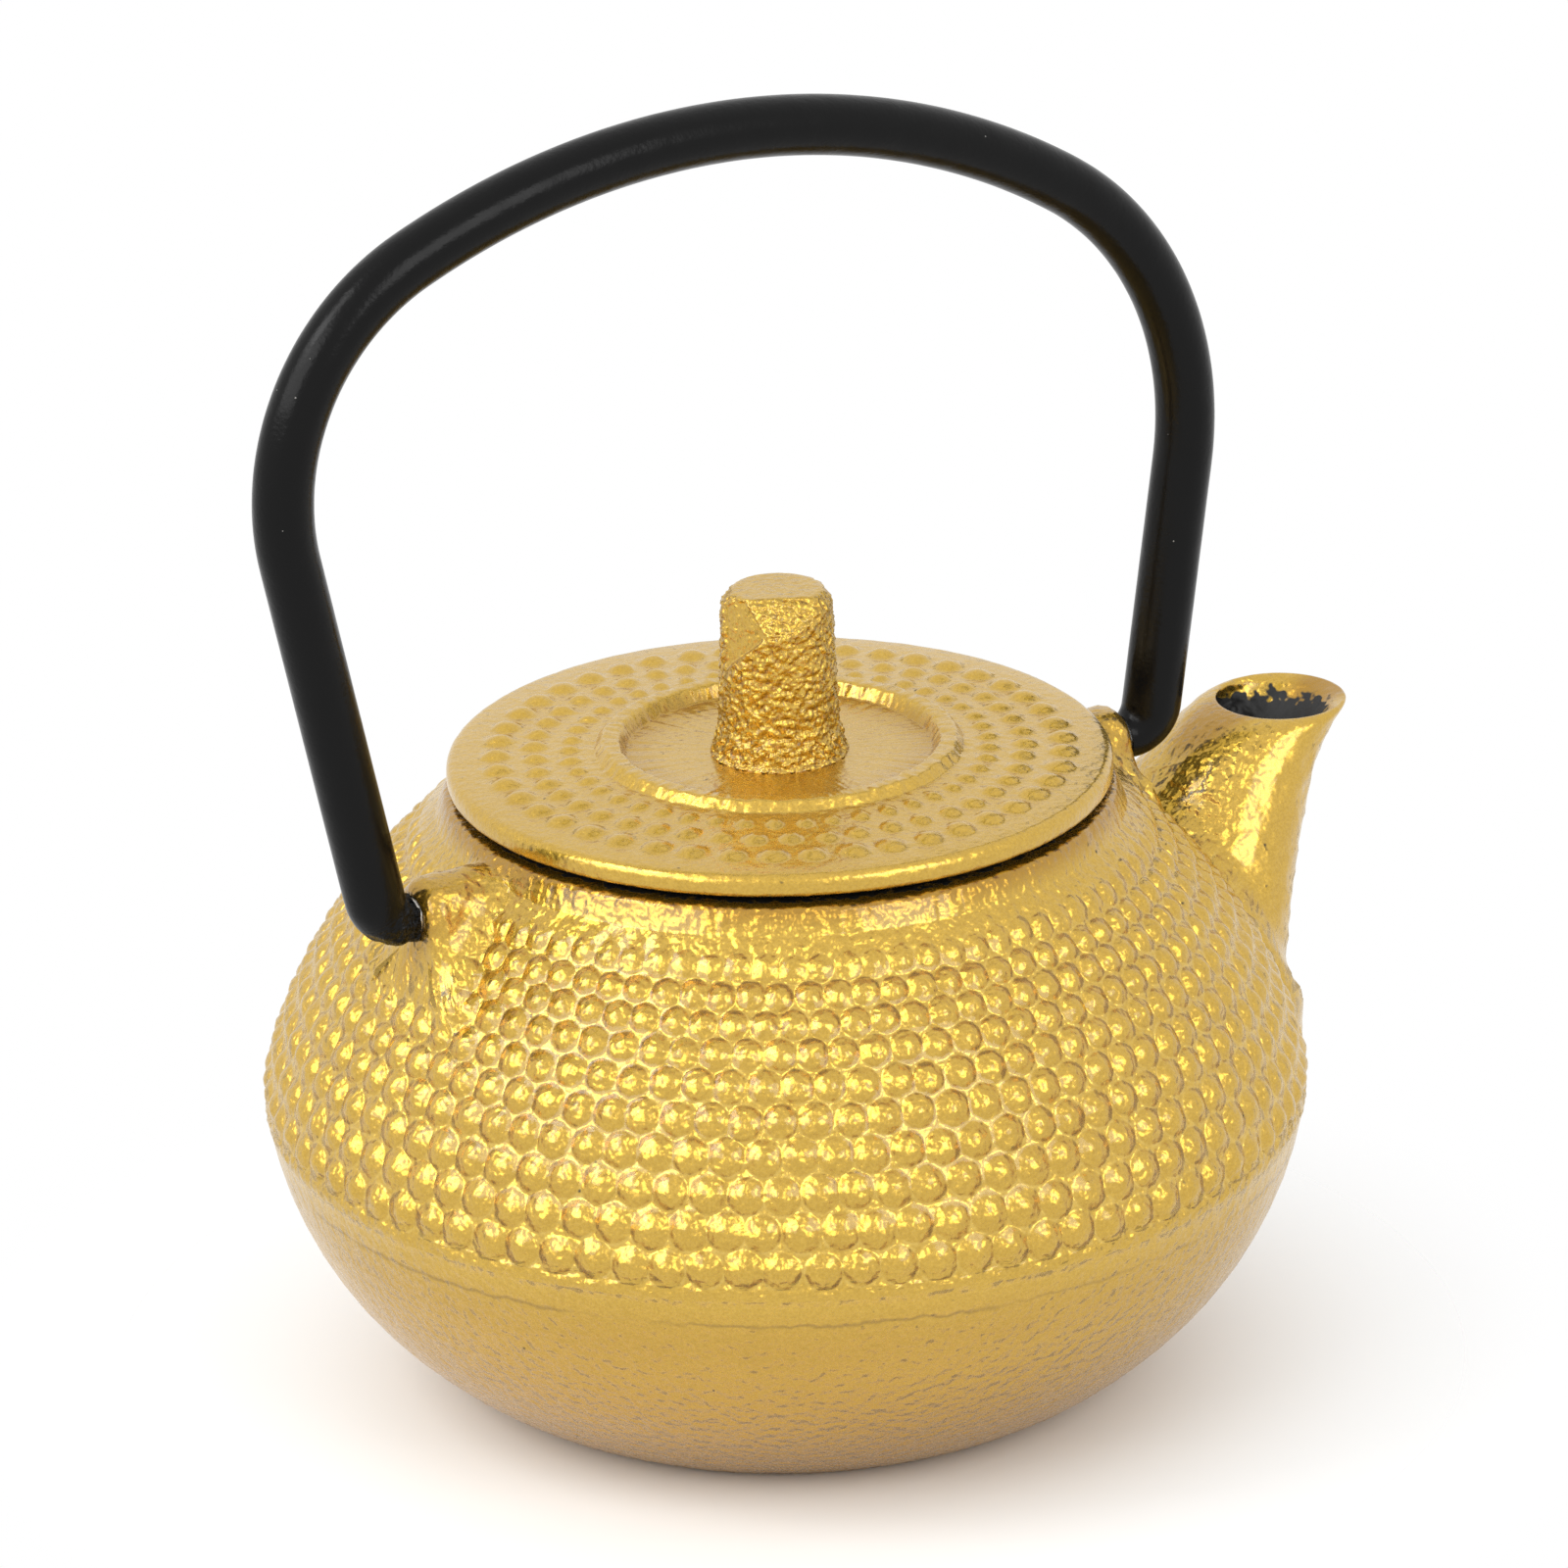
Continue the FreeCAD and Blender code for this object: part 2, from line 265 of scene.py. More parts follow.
def domeDistance(tree, turn, phase, given, reach):  # squared, from the nearest dome's middle, 1 at its edge
    nearest = None
    for rowStep in (-1, 0, 1):
        row = calc(tree, "FLOOR", phase) + rowStep
        stagger = calc(tree, "FLOORED_MODULO", row, 2) * 0.5
        around = turn * given["Domes Around"] + (stagger + given["Dome Turn"])
        cell = calc(tree, "FLOOR", around)
        number = calc(tree, "FLOORED_MODULO", cell, given["Domes Around"])
        key = flow(tree, "ShaderNodeCombineXYZ", {"X": number, "Y": row, "Z": given["Seed"]})
        chance = flow(tree, "ShaderNodeTexWhiteNoise", {"Vector": key}, "Color", noise_dimensions="3D")
        luck = splitVector(tree, chance)
        ownReach = reach * (1 - luck["Z"] * given["Dome Variety"])
        squares = []
        for value, start, drift in ((around, cell, luck["X"]), (phase, row, luck["Y"])):
            shift = (drift - 0.5) * given["Dome Drift"]
            squares.append(((value - start - 0.5 + shift) / ownReach) ** 2)
        above = calc(tree, "GREATER_THAN", row, given["Rows"] - 0.5)
        below = calc(tree, "LESS_THAN", row, -0.5)
        distance = squares[0] + squares[1] + (above + below) * noDomeDistance
        nearest = calc(tree, "MINIMUM", nearest, distance) if nearest else distance
    return nearest


def hobnailTree():
    tree = bpy.data.node_groups.new("hobnailCasting", "GeometryNodeTree")
    for kind, names in hobnailInputs.items():
        for name in names:
            tree.interface.new_socket(name, in_out="INPUT", socket_type=kind)
    tree.interface.new_socket("Casting", in_out="OUTPUT", socket_type="NodeSocketGeometry")
    given = outputsOf(tree, tree.nodes.new("NodeGroupInput"))
    profile = given["Profile"]

    ringCount = flow(tree, "GeometryNodeAttributeDomainSize", {"Geometry": profile}, "Point Count")
    across = given["Columns"] + 1
    grid = flow(tree, "GeometryNodeMeshGrid", {"Vertices X": ringCount, "Vertices Y": across}, "Mesh")
    index = flow(tree, "GeometryNodeInputIndex")
    ring = calc(tree, "FLOOR", (index + 0.5) / across)
    turn = (index - ring * across) / given["Columns"]
    angle = turn * math.tau
    cosine = calc(tree, "COSINE", angle)
    sine = calc(tree, "SINE", angle)

    def onRing(value, kind):
        links = {"Geometry": profile, "Value": value, "Index": ring}
        return flow(tree, "GeometryNodeSampleIndex", links, data_type=kind)

    def ringValue(name, kind="FLOAT"):
        value = flow(tree, "GeometryNodeInputNamedAttribute", {"Name": name}, "Attribute", data_type=kind)
        return onRing(value, kind)

    def placed(radius, height):
        return flow(tree, "ShaderNodeCombineXYZ", {"X": cosine * radius, "Y": sine * radius, "Z": height})

    spot = splitVector(tree, onRing(flow(tree, "GeometryNodeInputPosition"), "FLOAT_VECTOR"))
    facing = splitVector(tree, ringValue("facing", "FLOAT_VECTOR"))
    phase = ringValue("rowPhase")
    distance = domeDistance(tree, turn, phase, given, ringValue("domeReach"))
    dome = calc(tree, "MAXIMUM", 1 - distance, 0) ** given["Dome Shape"]
    bare = placed(spot["X"], spot["Z"])
    lumps = noiseAt(tree, bare, 1 / given["Lump Size"], castLumps["detail"], castLumps["roughness"]) - 0.5
    torn = noiseAt(tree, bare, tornEdge["scale"], tornEdge["detail"]) - 0.5
    ragged = phase + torn * tornEdge["phaseReach"]
    ledge = stretch(tree, ragged, *tornEdge["ledgePhases"], given["Ledge Height"], 0.0, "SMOOTHSTEP")
    rise = dome * ringValue("domeHeight") + lumps * given["Lump Height"]
    rise = rise + ledge * ringValue("ledgeShare") + torn * ringValue("crumbs")
    position = placed(spot["X"] + facing["X"] * rise, spot["Z"] + facing["Z"] * rise)
    casting = flow(tree, "GeometryNodeSetPosition", {"Geometry": grid, "Position": position})
    casting = flow(tree, "GeometryNodeMergeByDistance", {"Geometry": casting, "Distance": 1e-6})
    casting = flow(tree, "GeometryNodeSetShadeSmooth", {"Geometry": casting})
    casting = flow(tree, "GeometryNodeRealizeInstances", {"Geometry": casting})
    casting = flow(tree, "GeometryNodeSetMaterial", {"Geometry": casting, "Material": given["Finish"]})
    feed(tree, tree.nodes.new("NodeGroupOutput").inputs["Casting"], casting)
    return tree


hobnails = hobnailTree()


def ringOf(radius, height, phase=-5.0, domeHeight=0.0, domeReach=0.4, ledgeShare=0.0, crumbs=0.0):
    return {
        "spot": (radius, height),
        "rowPhase": phase,
        "domeHeight": domeHeight * mm,
        "domeReach": domeReach,
        "ledgeShare": ledgeShare,
        "crumbs": crumbs * mm,
    }


def turnedCasting(name, rings, look, material):
    spots = [Vector(ring["spot"]) for ring in rings]
    last = len(spots) - 1
    mesh = bpy.data.meshes.new(name)
    edges = [(index, index + 1) for index in range(last)]
    mesh.from_pydata([(spot.x * mm, 0, spot.y * mm) for spot in spots], edges, [])
    facing = mesh.attributes.new("facing", "FLOAT_VECTOR", "POINT")
    for index, spot in enumerate(spots):
        along = (spots[min(index + 1, last)] - spots[max(index - 1, 0)]).normalized()
        facing.data[index].vector = (along.y if spot.x > 0 else 0, 0, -along.x)
    for key in ("rowPhase", "domeHeight", "domeReach", "ledgeShare", "crumbs"):
        storeList(mesh, key, [ring[key] for ring in rings])
    piece = addObject(name, mesh)
    modifier = piece.modifiers.new("hobnails", "NODES")
    modifier.node_group = hobnails
    wanted = dict(look, Finish=material)
    for socket in hobnails.interface.items_tree:
        if socket.in_out == "INPUT" and socket.name in wanted:
            modifier[socket.identifier] = wanted[socket.name]
    plainMesh(piece)
    return outwards(piece)


# Shared surface effects
def objectPlace(tree):
    return flow(tree, "ShaderNodeTexCoord", output="Object")


def vertexValue(tree, label):
    return flow(tree, "ShaderNodeAttribute", output="Fac", attribute_name=label)


def bumped(tree, height, strength=1.0, distance=1.0):
    return flow(tree, "ShaderNodeBump", {"Height": height, "Strength": strength, "Distance": distance})


def mixColour(tree, factor, first, second):
    node = addNode(tree, "ShaderNodeMix", data_type="RGBA")
    for index, value in ((0, factor), (6, first), (7, second)):
        feed(tree, node.inputs[index], value)
    return Flow(tree, node.outputs[2])


def shaderGroup(name, inputs, outputs):
    group = bpy.data.node_groups.new(name, "ShaderNodeTree")
    for label, value in inputs.items():
        socket = group.interface.new_socket(label, in_out="INPUT", socket_type="NodeSocketFloat")
        socket.default_value = value
    for label in outputs:
        group.interface.new_socket(label, in_out="OUTPUT", socket_type="NodeSocketFloat")
    given = outputsOf(group, group.nodes.new("NodeGroupInput"))
    return group, given, group.nodes.new("NodeGroupOutput")


def useGroup(tree, group, values):
    return outputsOf(tree, addNode(tree, "ShaderNodeGroup", values, node_tree=group))


def castGrainGroup():
    crumbShare = 0.4
    inputs = {"Grain Size": 0.0002, "Grain Relief": 0.3, "Lump Size": 0.0005, "Lump Relief": 0.4}
    group, given, result = shaderGroup("castGrain", inputs, ("Height", "Grain", "Lumps"))
    place = objectPlace(group)
    grain = noiseAt(group, place, 1 / given["Grain Size"], 1.0)
    lumpScale = 1 / given["Lump Size"]
    lumps = noiseAt(group, place, lumpScale, 1.0)
    links = {"Vector": place, "Scale": lumpScale}
    crumbs = flow(group, "ShaderNodeTexVoronoi", links, "Distance", feature="SMOOTH_F1")
    fine = grain * (given["Grain Size"] * given["Grain Relief"])
    coarse = (lumps - crumbs * crumbShare) * (given["Lump Size"] * given["Lump Relief"])
    feedAll(group, result, {"Height": fine + coarse, "Grain": grain, "Lumps": lumps})
    return group


def paintFlakeGroup():
    inputs = {"Flake Size": 0.00012, "Cloud Size": 0.006}
    group, given, result = shaderGroup("paintFlake", inputs, ("Flake", "Cloud"))
    place = objectPlace(group)
    links = {"Vector": place, "Scale": 1 / given["Flake Size"]}
    flakes = flow(group, "ShaderNodeTexVoronoi", links, "Color")
    single = flow(group, "ShaderNodeSeparateColor", {"Color": flakes})
    cloud = noiseAt(group, place, 1 / given["Cloud Size"], 3.0)
    feedAll(group, result, {"Flake": single, "Cloud": cloud})
    return group


def specksGroup():
    group, given, result = shaderGroup("specks", {"Spacing": 0.003, "Size": 0.06}, ("Mask",))
    links = {"Vector": objectPlace(group), "Scale": 1 / given["Spacing"]}
    away = flow(group, "ShaderNodeTexVoronoi", links, "Distance")
    feedAll(group, result, {"Mask": calc(group, "LESS_THAN", away, given["Size"])})
    return group


def hobnailReliefGroup():  # what the domes' true shape adds to the coarser domes of the mesh
    inputs = {"Row Phase": -5.0, "Dome Share": 0.0, "Rows": 10, "Domes Around": 86, "Seed": 4}
    inputs.update({"Dome Turn": 0.0, "Dome Drift": 0.1, "Dome Variety": 0.1, "Dome Reach": 0.46})
    inputs.update({"Dome Height": 0.0005, "Groove Round": 0.0001, "Cast Reach": 0.53, "Cast Height": 0.0004})
    grooveStart, grooveEnd = (0.8, 1.0), (1.4, 1.02)
    group, given, result = shaderGroup("hobnailRelief", inputs, ("Height", "Groove"))
    spot = splitVector(group, objectPlace(group))
    turn = calc(group, "ARCTAN2", spot["Y"], spot["X"]) / math.tau
    distance = domeDistance(group, turn, given["Row Phase"], given, given["Dome Reach"])
    true = calc(group, "SMOOTH_MAX", (1 - distance) * given["Dome Height"], 0.0, given["Groove Round"])
    wider = (given["Dome Reach"] / given["Cast Reach"]) ** 2
    cast = calc(group, "MAXIMUM", 1 - distance * wider, 0) ** 2 * given["Cast Height"]
    # Groove marks where the painted highlight goes, between the domes
    groove = stretch(group, distance, *grooveStart) * stretch(group, distance, *grooveEnd)
    share = given["Dome Share"]
    feedAll(group, result, {"Height": (true - cast) * share, "Groove": groove * share})
    return group


castGrain = castGrainGroup()
hobnailRelief = hobnailReliefGroup()
paintFlake = paintFlakeGroup()
specks = specksGroup()


def newMaterial(name):
    material = bpy.data.materials.new(name)
    material.use_nodes = True
    tree = material.node_tree
    return material, tree, tree.nodes["Principled BSDF"]


goldPaint = {
    "pale": (0.68, 0.435, 0.064, 1),
    "deep": (0.51, 0.305, 0.028, 1),
    # painted shade: a deeper amber laid into corners, low on the bowl, under the lid and in the knob's pits
    "paintedShade": (0.40, 0.205, 0.014, 1),
    # painted highlight: pale gold laid along the grooves between the domes
    "grooveHighlight": (0.86, 0.62, 0.16, 1),
    "enamel": (0.006, 0.006, 0.006, 1),
    "speck": (0.07, 0.045, 0.02, 1),
    "seam": (0.22, 0.125, 0.03, 1),
    "roughness": (0.25, 0.33),
    "enamelRoughness": 0.6,
    "metal": 0.88,
    "coat": 0.45,
    "coatRoughness": 0.14,
    "coatBend": 1.75,
    "flakes": {"Flake Size": 0.00012, "Cloud Size": 0.007},
    "specks": {"Spacing": 0.008, "Size": 0.014},
    "grainContrast": (0.34, 0.66),
    "grainShare": 0.4,
    "flakeShare": 0.3,
    "cloudShare": 0.3,
    # painted highlight in the grooves: how the lumps break it up
    "grooveHighlightSpread": (0.35, 0.6, 0.0, 0.4),
    "enamelSpread": 1.6,
    "enamelEdge": (0.42, 0.58),
}
partingLine = {
    "wanderScale": 700.0,
    "wanderDetail": 6.0,
    "wander": 0.0009,
    "edge": (0.00003, 0.0002),
    "breaks": (0.36, 0.56, 0.05, 0.5),
    "depth": 0.00003,
}


def goldMaterial(name, grain, partingHeight=None, domes=None):
    paint = goldPaint
    material, tree, shader = newMaterial(name)
    cast = useGroup(tree, castGrain, grain)
    flake = useGroup(tree, paintFlake, paint["flakes"])
    dots = useGroup(tree, specks, paint["specks"])["Mask"]
    tone = stretch(tree, cast["Grain"], *paint["grainContrast"]) * paint["grainShare"]
    tone = tone + flake["Flake"] * paint["flakeShare"] + flake["Cloud"] * paint["cloudShare"]
    colour = mixColour(tree, tone, paint["deep"], paint["pale"])
    # painted shade: the colour darkens toward a deeper amber by the vertex value read here
    colour = mixColour(tree, vertexValue(tree, "paintedShade"), colour, paint["paintedShade"])
    colour = mixColour(tree, dots, colour, paint["speck"])
    height = cast["Height"] * vertexValue(tree, "coarse")
    if domes:
        own = {"Row Phase": vertexValue(tree, "rowPhase"), "Dome Share": vertexValue(tree, "domeShare")}
        relief = useGroup(tree, hobnailRelief, dict(domes, **own))
        height = height + relief["Height"]
        # painted highlight: paler gold along the grooves between the domes, broken up by the lumps
        grooveHighlight = relief["Groove"] * stretch(tree, cast["Lumps"], *paint["grooveHighlightSpread"])
        colour = mixColour(tree, grooveHighlight, colour, paint["grooveHighlight"])
    if partingHeight:
        place = objectPlace(tree)
        wander = noiseAt(tree, place, partingLine["wanderScale"], partingLine["wanderDetail"]) - 0.5
        level = splitVector(tree, place)["Z"] + wander * partingLine["wander"]
        away = calc(tree, "ABSOLUTE", level - partingHeight)
        line = stretch(tree, away, *partingLine["edge"], 1, 0)
        broken = line * stretch(tree, flake["Cloud"], *partingLine["breaks"])
        colour = mixColour(tree, broken, colour, paint["seam"])
        height = height - broken * partingLine["depth"]
    ragged = vertexValue(tree, "inside") + (cast["Lumps"] - 0.5) * paint["enamelSpread"]
    dark = stretch(tree, ragged, *paint["enamelEdge"])
    painted = 1 - dark
    roughness = stretch(tree, flake["Flake"], 0, 1, *paint["roughness"])
    feedAll(tree, shader, {
        "Base Color": mixColour(tree, dark, colour, paint["enamel"]),
        "Roughness": calc(tree, "MAXIMUM", roughness, dark * paint["enamelRoughness"]),
        "Metallic": painted * paint["metal"],
        "Coat Weight": painted * paint["coat"],
        "Coat Roughness": paint["coatRoughness"],
        "Coat IOR": paint["coatBend"],
        "Normal": bumped(tree, height),
    })
    return material


noiseRange = (0.3, 0.7)
sleevePlastic = {
    "colour": (0.003, 0.003, 0.003, 1),
    "dust": (0.3, 0.29, 0.27, 1),
    "dustShare": 0.6,
    "dustSpecks": {"Spacing": 0.0022, "Size": 0.028},
    "grain": {"Grain Size": 0.0003, "Lump Size": 0.002, "Grain Relief": 0.05, "Lump Relief": 0.02},
    "roughness": (0.2, 0.28),
    "specular": 0.15,
    "foldScale": 1500.0,
    "foldDetail": 3.0,
    "foldHeight": 0.0012,
    "foldShine": 0.16,
}


def sleeveMaterial():
    look = sleevePlastic
    material, tree, shader = newMaterial("blackSleevePlastic")
    dust = useGroup(tree, specks, look["dustSpecks"])["Mask"] * look["dustShare"]
    grain = useGroup(tree, castGrain, look["grain"])
    crease = vertexValue(tree, "crease")
    folds = noiseAt(tree, objectPlace(tree), look["foldScale"], look["foldDetail"]) * look["foldHeight"]
    roughness = stretch(tree, grain["Lumps"], *noiseRange, *look["roughness"])
    feedAll(tree, shader, {
        "Base Color": mixColour(tree, dust, look["colour"], look["dust"]),
        "Roughness": roughness - crease * look["foldShine"],
        "Specular IOR Level": look["specular"],
        "Normal": bumped(tree, grain["Height"] + folds * crease),
    })
    return material


steelFinish = {
    "bright": (0.74, 0.74, 0.73, 1),
    "dull": (0.56, 0.56, 0.55, 1),
    "roughness": (0.22, 0.38),
    "brushScale": 9000.0,
    "brushDetail": 3.0,
    "brushStrength": 0.2,
    "brushDepth": 0.00002,
}


def steelMaterial(name, stretchAxis):
    look = steelFinish
    material, tree, shader = newMaterial(name)
    lay = flow(tree, "ShaderNodeMapping", {"Vector": objectPlace(tree), "Scale": stretchAxis})
    brushing = noiseAt(tree, lay, look["brushScale"], look["brushDetail"])
    feedAll(tree, shader, {
        "Base Color": mixColour(tree, brushing, look["dull"], look["bright"]),
        "Roughness": stretch(tree, brushing, *noiseRange, *look["roughness"]),
        "Metallic": 1.0,
        "Normal": bumped(tree, brushing, look["brushStrength"], look["brushDepth"]),
    })
    return material


# Pot casting, in millimetres and degrees
potShape = {
    "footRings": ((0, 0), (12, 0), (19.2, 0), (19.75, 0.05)),
    "bellyHeight": 20.2,
    "bellyRound": 8.0,
    "shoulderRound": 36.3,
    "shoulderAngle": 18.6,
    "bowlRound": 24.8,
    "bowlAngle": 9.3,
    "wall": 2.2,
    "floorThickness": 2.6,
    "bowlLength": 24.57,
    "bowlRings": 14,
    "bowlInset": 0.2,
    "insetRings": 4,
    "bowlGap": 0.6,
    "collarFoot": (24.2, -2.8),
    "waist": (22.9, 39.49),
    "waistRound": 0.5,
    "lipRadius": 22.2,
    "lipRound": 0.6,
    "lipRings": (21.2, 20.4),
    "collarCrumbs": 0.1,
    "crumbRadius": 21,
    "rebateRadius": 18.0,
    "rebateRound": 0.15,
    "rebateDepth": 1.0,
    "mouthRadius": 16.0,
    "ceilingDepth": 4.2,
    "cavitySteps": (14, 6, 12),
    "cavityColumns": 128,
    "cavityRise": 3,
    "partingHeight": 17.0,
    "sharpAngle": 48,
    "grain": {"Grain Size": 0.0002, "Grain Relief": 0.08, "Lump Size": 0.0007, "Lump Relief": 0.38},
}
potHobnails = {
    "rows": 10,
    "ringsPerRow": 7,
    "firstRowStart": 0.8,
    "firstRowSpan": 2.64,
    "spanLoss": 0.088,
    "ground": -0.44,
    "groundShare": 0.6,
    "castHeight": 0.42,
    "castReach": 0.6,
    "trueHeight": 0.6,
    "trueReach": 0.56,
    "grooveRound": 0.16,
    "flatShare": 0.55,
    "topRowShare": 0.62,
    "edgeStart": -0.36,
    "edgeStep": 0.05,
    "edgeRings": 18,
    "firstRing": 4,
    "edgeMiddle": 0.05,
    "edgeHalf": 0.34,
    "edgeCrumbs": 0.9,
    "rowCrumbs": 0.1,
    "ledgeFade": (1.6, 2),
    "lastPhase": 9.999,
    "look": {
        "Columns": 688,
        "Rows": 10,
        "Domes Around": 86,
        "Seed": 4,
        "Dome Turn": -0.12,
        "Dome Shape": 2.0,
        "Dome Drift": 0.1,
        "Dome Variety": 0.1,
        "Ledge Height": 0.3 * mm,
        "Lump Height": 0.15 * mm,
        "Lump Size": 0.8 * mm,
    },
}
bodyRadius = potHigh.y
collarTop = potHigh.z
bellyRound, bowlRound, shoulderRound = (potShape[part + "Round"] for part in ("belly", "bowl", "shoulder"))
bowlAngle, shoulderAngle = potShape["bowlAngle"], potShape["shoulderAngle"]
bellyLength = bellyRound * math.radians(bowlAngle + shoulderAngle)
bellyCentre = Vector((bodyRadius - bellyRound, potShape["bellyHeight"]))
shoulderCentre = bellyCentre + turned(shoulderAngle) * (bellyRound - shoulderRound)
bowlCentre = bellyCentre + turned(-bowlAngle) * (bellyRound - bowlRound)
collarFoot = Vector((potShape["collarFoot"][0], collarTop + potShape["collarFoot"][1]))
collarLine = [collarFoot, Vector(potShape["waist"]), Vector((potShape["lipRadius"], collarTop))]
rebateFloor = collarTop - potShape["rebateDepth"]


def sideSpot(along, rise=0.0):  # along the side from the foot of the belly's arc, down the bowl if negative
    centre, radius, start = bellyCentre, bellyRound, -bowlAngle
    if along < 0:
        centre, radius = bowlCentre, bowlRound
    elif along >= bellyLength:
        centre, radius, start = shoulderCentre, shoulderRound, shoulderAngle
        along -= bellyLength
    return centre + turned(start + math.degrees(along / radius)) * (radius + rise)


def offBody(point):  # distance of a point outside the pot's smooth side and collar
    spot = Vector((math.hypot(point[0], point[1]), point[2]))
    if spot.y > collarFoot.y and spot.x < collarFoot.x + 2:
        gaps = []
        for low, high in zip(collarLine, collarLine[1:]):
            along = (high - low).normalized()
            gaps.append((spot - low).dot(Vector((along.y, -along.x))))
        return max(min(gaps), spot.y - collarTop)
    turn = bearing(bellyCentre, spot)
    if turn > shoulderAngle:
        return (spot - shoulderCentre).length - shoulderRound
    if turn < -bowlAngle:
        return (spot - bowlCentre).length - bowlRound
    return (spot - bellyCentre).length - bellyRound


def filletOffset(point, radius):
    gap = clamp(offBody(point), 0, radius)
    return radius - math.sqrt(radius ** 2 - (radius - gap) ** 2)


def rowSpan(row):
    return potHobnails["firstRowSpan"] - potHobnails["spanLoss"] * row


def rowStart(phase):
    row = clamp(int(phase), 0, potHobnails["rows"] - 1)
    before = row * potHobnails["firstRowSpan"] - potHobnails["spanLoss"] * row * (row - 1) / 2
    return potHobnails["firstRowStart"] + before + (phase - row) * rowSpan(row)


def phaseAt(point):  # the row of hobnails a point on the side is in, as rowStart counts them
    spot = Vector((math.hypot(point.x, point.y), point.z))
    turn = bearing(bellyCentre, spot)
    along = bellyRound * math.radians(bowlAngle + turn)
    if turn > shoulderAngle:
        past = bearing(shoulderCentre, spot) - shoulderAngle
        along = bellyLength + shoulderRound * math.radians(past)
    row = 0
    while row < potHobnails["rows"] - 1 and rowStart(row + 1) < along:
        row += 1
    return row + (along - rowStart(row)) / rowSpan(row)


def shrunk(radius, least):  # 1 at the belly and less further in
    return least + (1 - least) * radius / bodyRadius


def domeSize(phase, radius):
    last = phase >= potHobnails["rows"] - 1
    return shrunk(radius, potHobnails["flatShare"]) * (potHobnails["topRowShare"] if last else 1)


def potRings():
    form, nails = potShape, potHobnails
    rings = [ringOf(*spot) for spot in form["footRings"]]
    for step in range(form["bowlRings"]):
        share = step / (form["bowlRings"] - 1)
        along = -form["bowlLength"] + (form["bowlLength"] - form["bowlGap"]) * share
        rings.append(ringOf(*sideSpot(along, -form["bowlInset"] * min(1, step / form["insetRings"]))))
    steps = nails["rows"] * nails["ringsPerRow"]
    phases = [nails["edgeStart"] + nails["edgeStep"] * step for step in range(nails["edgeRings"])]
    phases += [step / nails["ringsPerRow"] for step in range(nails["firstRing"], steps + 1)]
    for phase in phases:
        radius = sideSpot(rowStart(max(0, phase))).x
        deep = nails["ground"] * shrunk(radius, nails["groundShare"])
        level = sideSpot(rowStart(phase), deep * min(1, nails["rows"] - phase))
        ledge = clamp(nails["ledgeFade"][0] - nails["ledgeFade"][1] * phase, 0, 1)
        nearEdge = max(0, 1 - abs(phase - nails["edgeMiddle"]) / nails["edgeHalf"])
        crumbs = nails["rowCrumbs"] + nails["edgeCrumbs"] * nearEdge
        height = nails["castHeight"] * domeSize(phase, radius)
        shown = min(phase, nails["lastPhase"])
        rings.append(ringOf(*level, shown, height, nails["castReach"], ledge, crumbs))
    collar = roundedPath([
        tuple(collarFoot),
        (*form["waist"], form["waistRound"]),
        (form["lipRadius"], collarTop, form["lipRound"]),
        *((radius, collarTop) for radius in form["lipRings"]),
        (form["rebateRadius"], collarTop, form["rebateRound"]),
        (form["rebateRadius"], rebateFloor),
        (0, rebateFloor),
    ])
    for radius, height in collar[1:]:
        rough = radius > form["crumbRadius"]
        rings.append(ringOf(radius, height, crumbs=form["collarCrumbs"] if rough else 0))
    return rings


def potCavity():
    form = potShape
    wall = form["wall"]
    ceiling = collarTop - form["ceilingDepth"]
    start = math.degrees(math.asin((form["floorThickness"] - bowlCentre.y) / (bowlRound - wall)))
    end = math.degrees(math.asin((ceiling - shoulderCentre.y) / (shoulderRound - wall)))
    spots = [(0, form["floorThickness"])]
    arcs = (
        (bowlCentre, bowlRound, start, -bowlAngle),
        (bellyCentre, bellyRound, -bowlAngle, shoulderAngle),
        (shoulderCentre, shoulderRound, shoulderAngle, end),
    )
    for (centre, radius, first, last), steps in zip(arcs, form["cavitySteps"]):
        for step in range(steps + 1):
            spots.append(tuple(centre + turned(first + (last - first) * step / steps) * (radius - wall)))
    top = collarTop + form["cavityRise"]
    spots += [(form["mouthRadius"], ceiling), (form["mouthRadius"], top), (0, top)]
    return [ringOf(*spot) for spot in spots]


spoutShape = {
    "lipRadius": 4.95,
    "lipDrop": 2.85,
    "lipWall": 0.95,
    "lipSteps": 6,
    "outerRound": 0.6,
    "innerRound": 0.45,
    "rootInset": 7.0,
    "rootSink": 2.2,
    "rootLength": 6.6,
    "rootWidth": 15.0,
    "bulge": 1.2,
    "bow": 0.52,
    "bowEase": 0.02,
    "flare": 1.3,
    "boreRoot": 5.8,
    "boreShift": 3.0,
    "boreShare": 0.9,
    "boreRings": 30,
    "boreColumns": 64,
    "boreProud": 0.05,
    "fillet": 1.4,
    "lumps": 0.12,
    "lumpSize": 1.1,
    "lipLumpFade": 12,
    "columns": 96,
    "rings": 52,
}
spoutLip = Vector((spoutHigh.x - spoutShape["lipRadius"], collarTop - spoutShape["lipDrop"]))
spoutRoot = Vector((bodyRadius - spoutShape["rootInset"], potShape["bellyHeight"] - spoutShape["rootSink"]))
spoutDrop = spoutLip.y - spoutRoot.y
boreRadius = spoutShape["lipRadius"] - spoutShape["lipWall"]


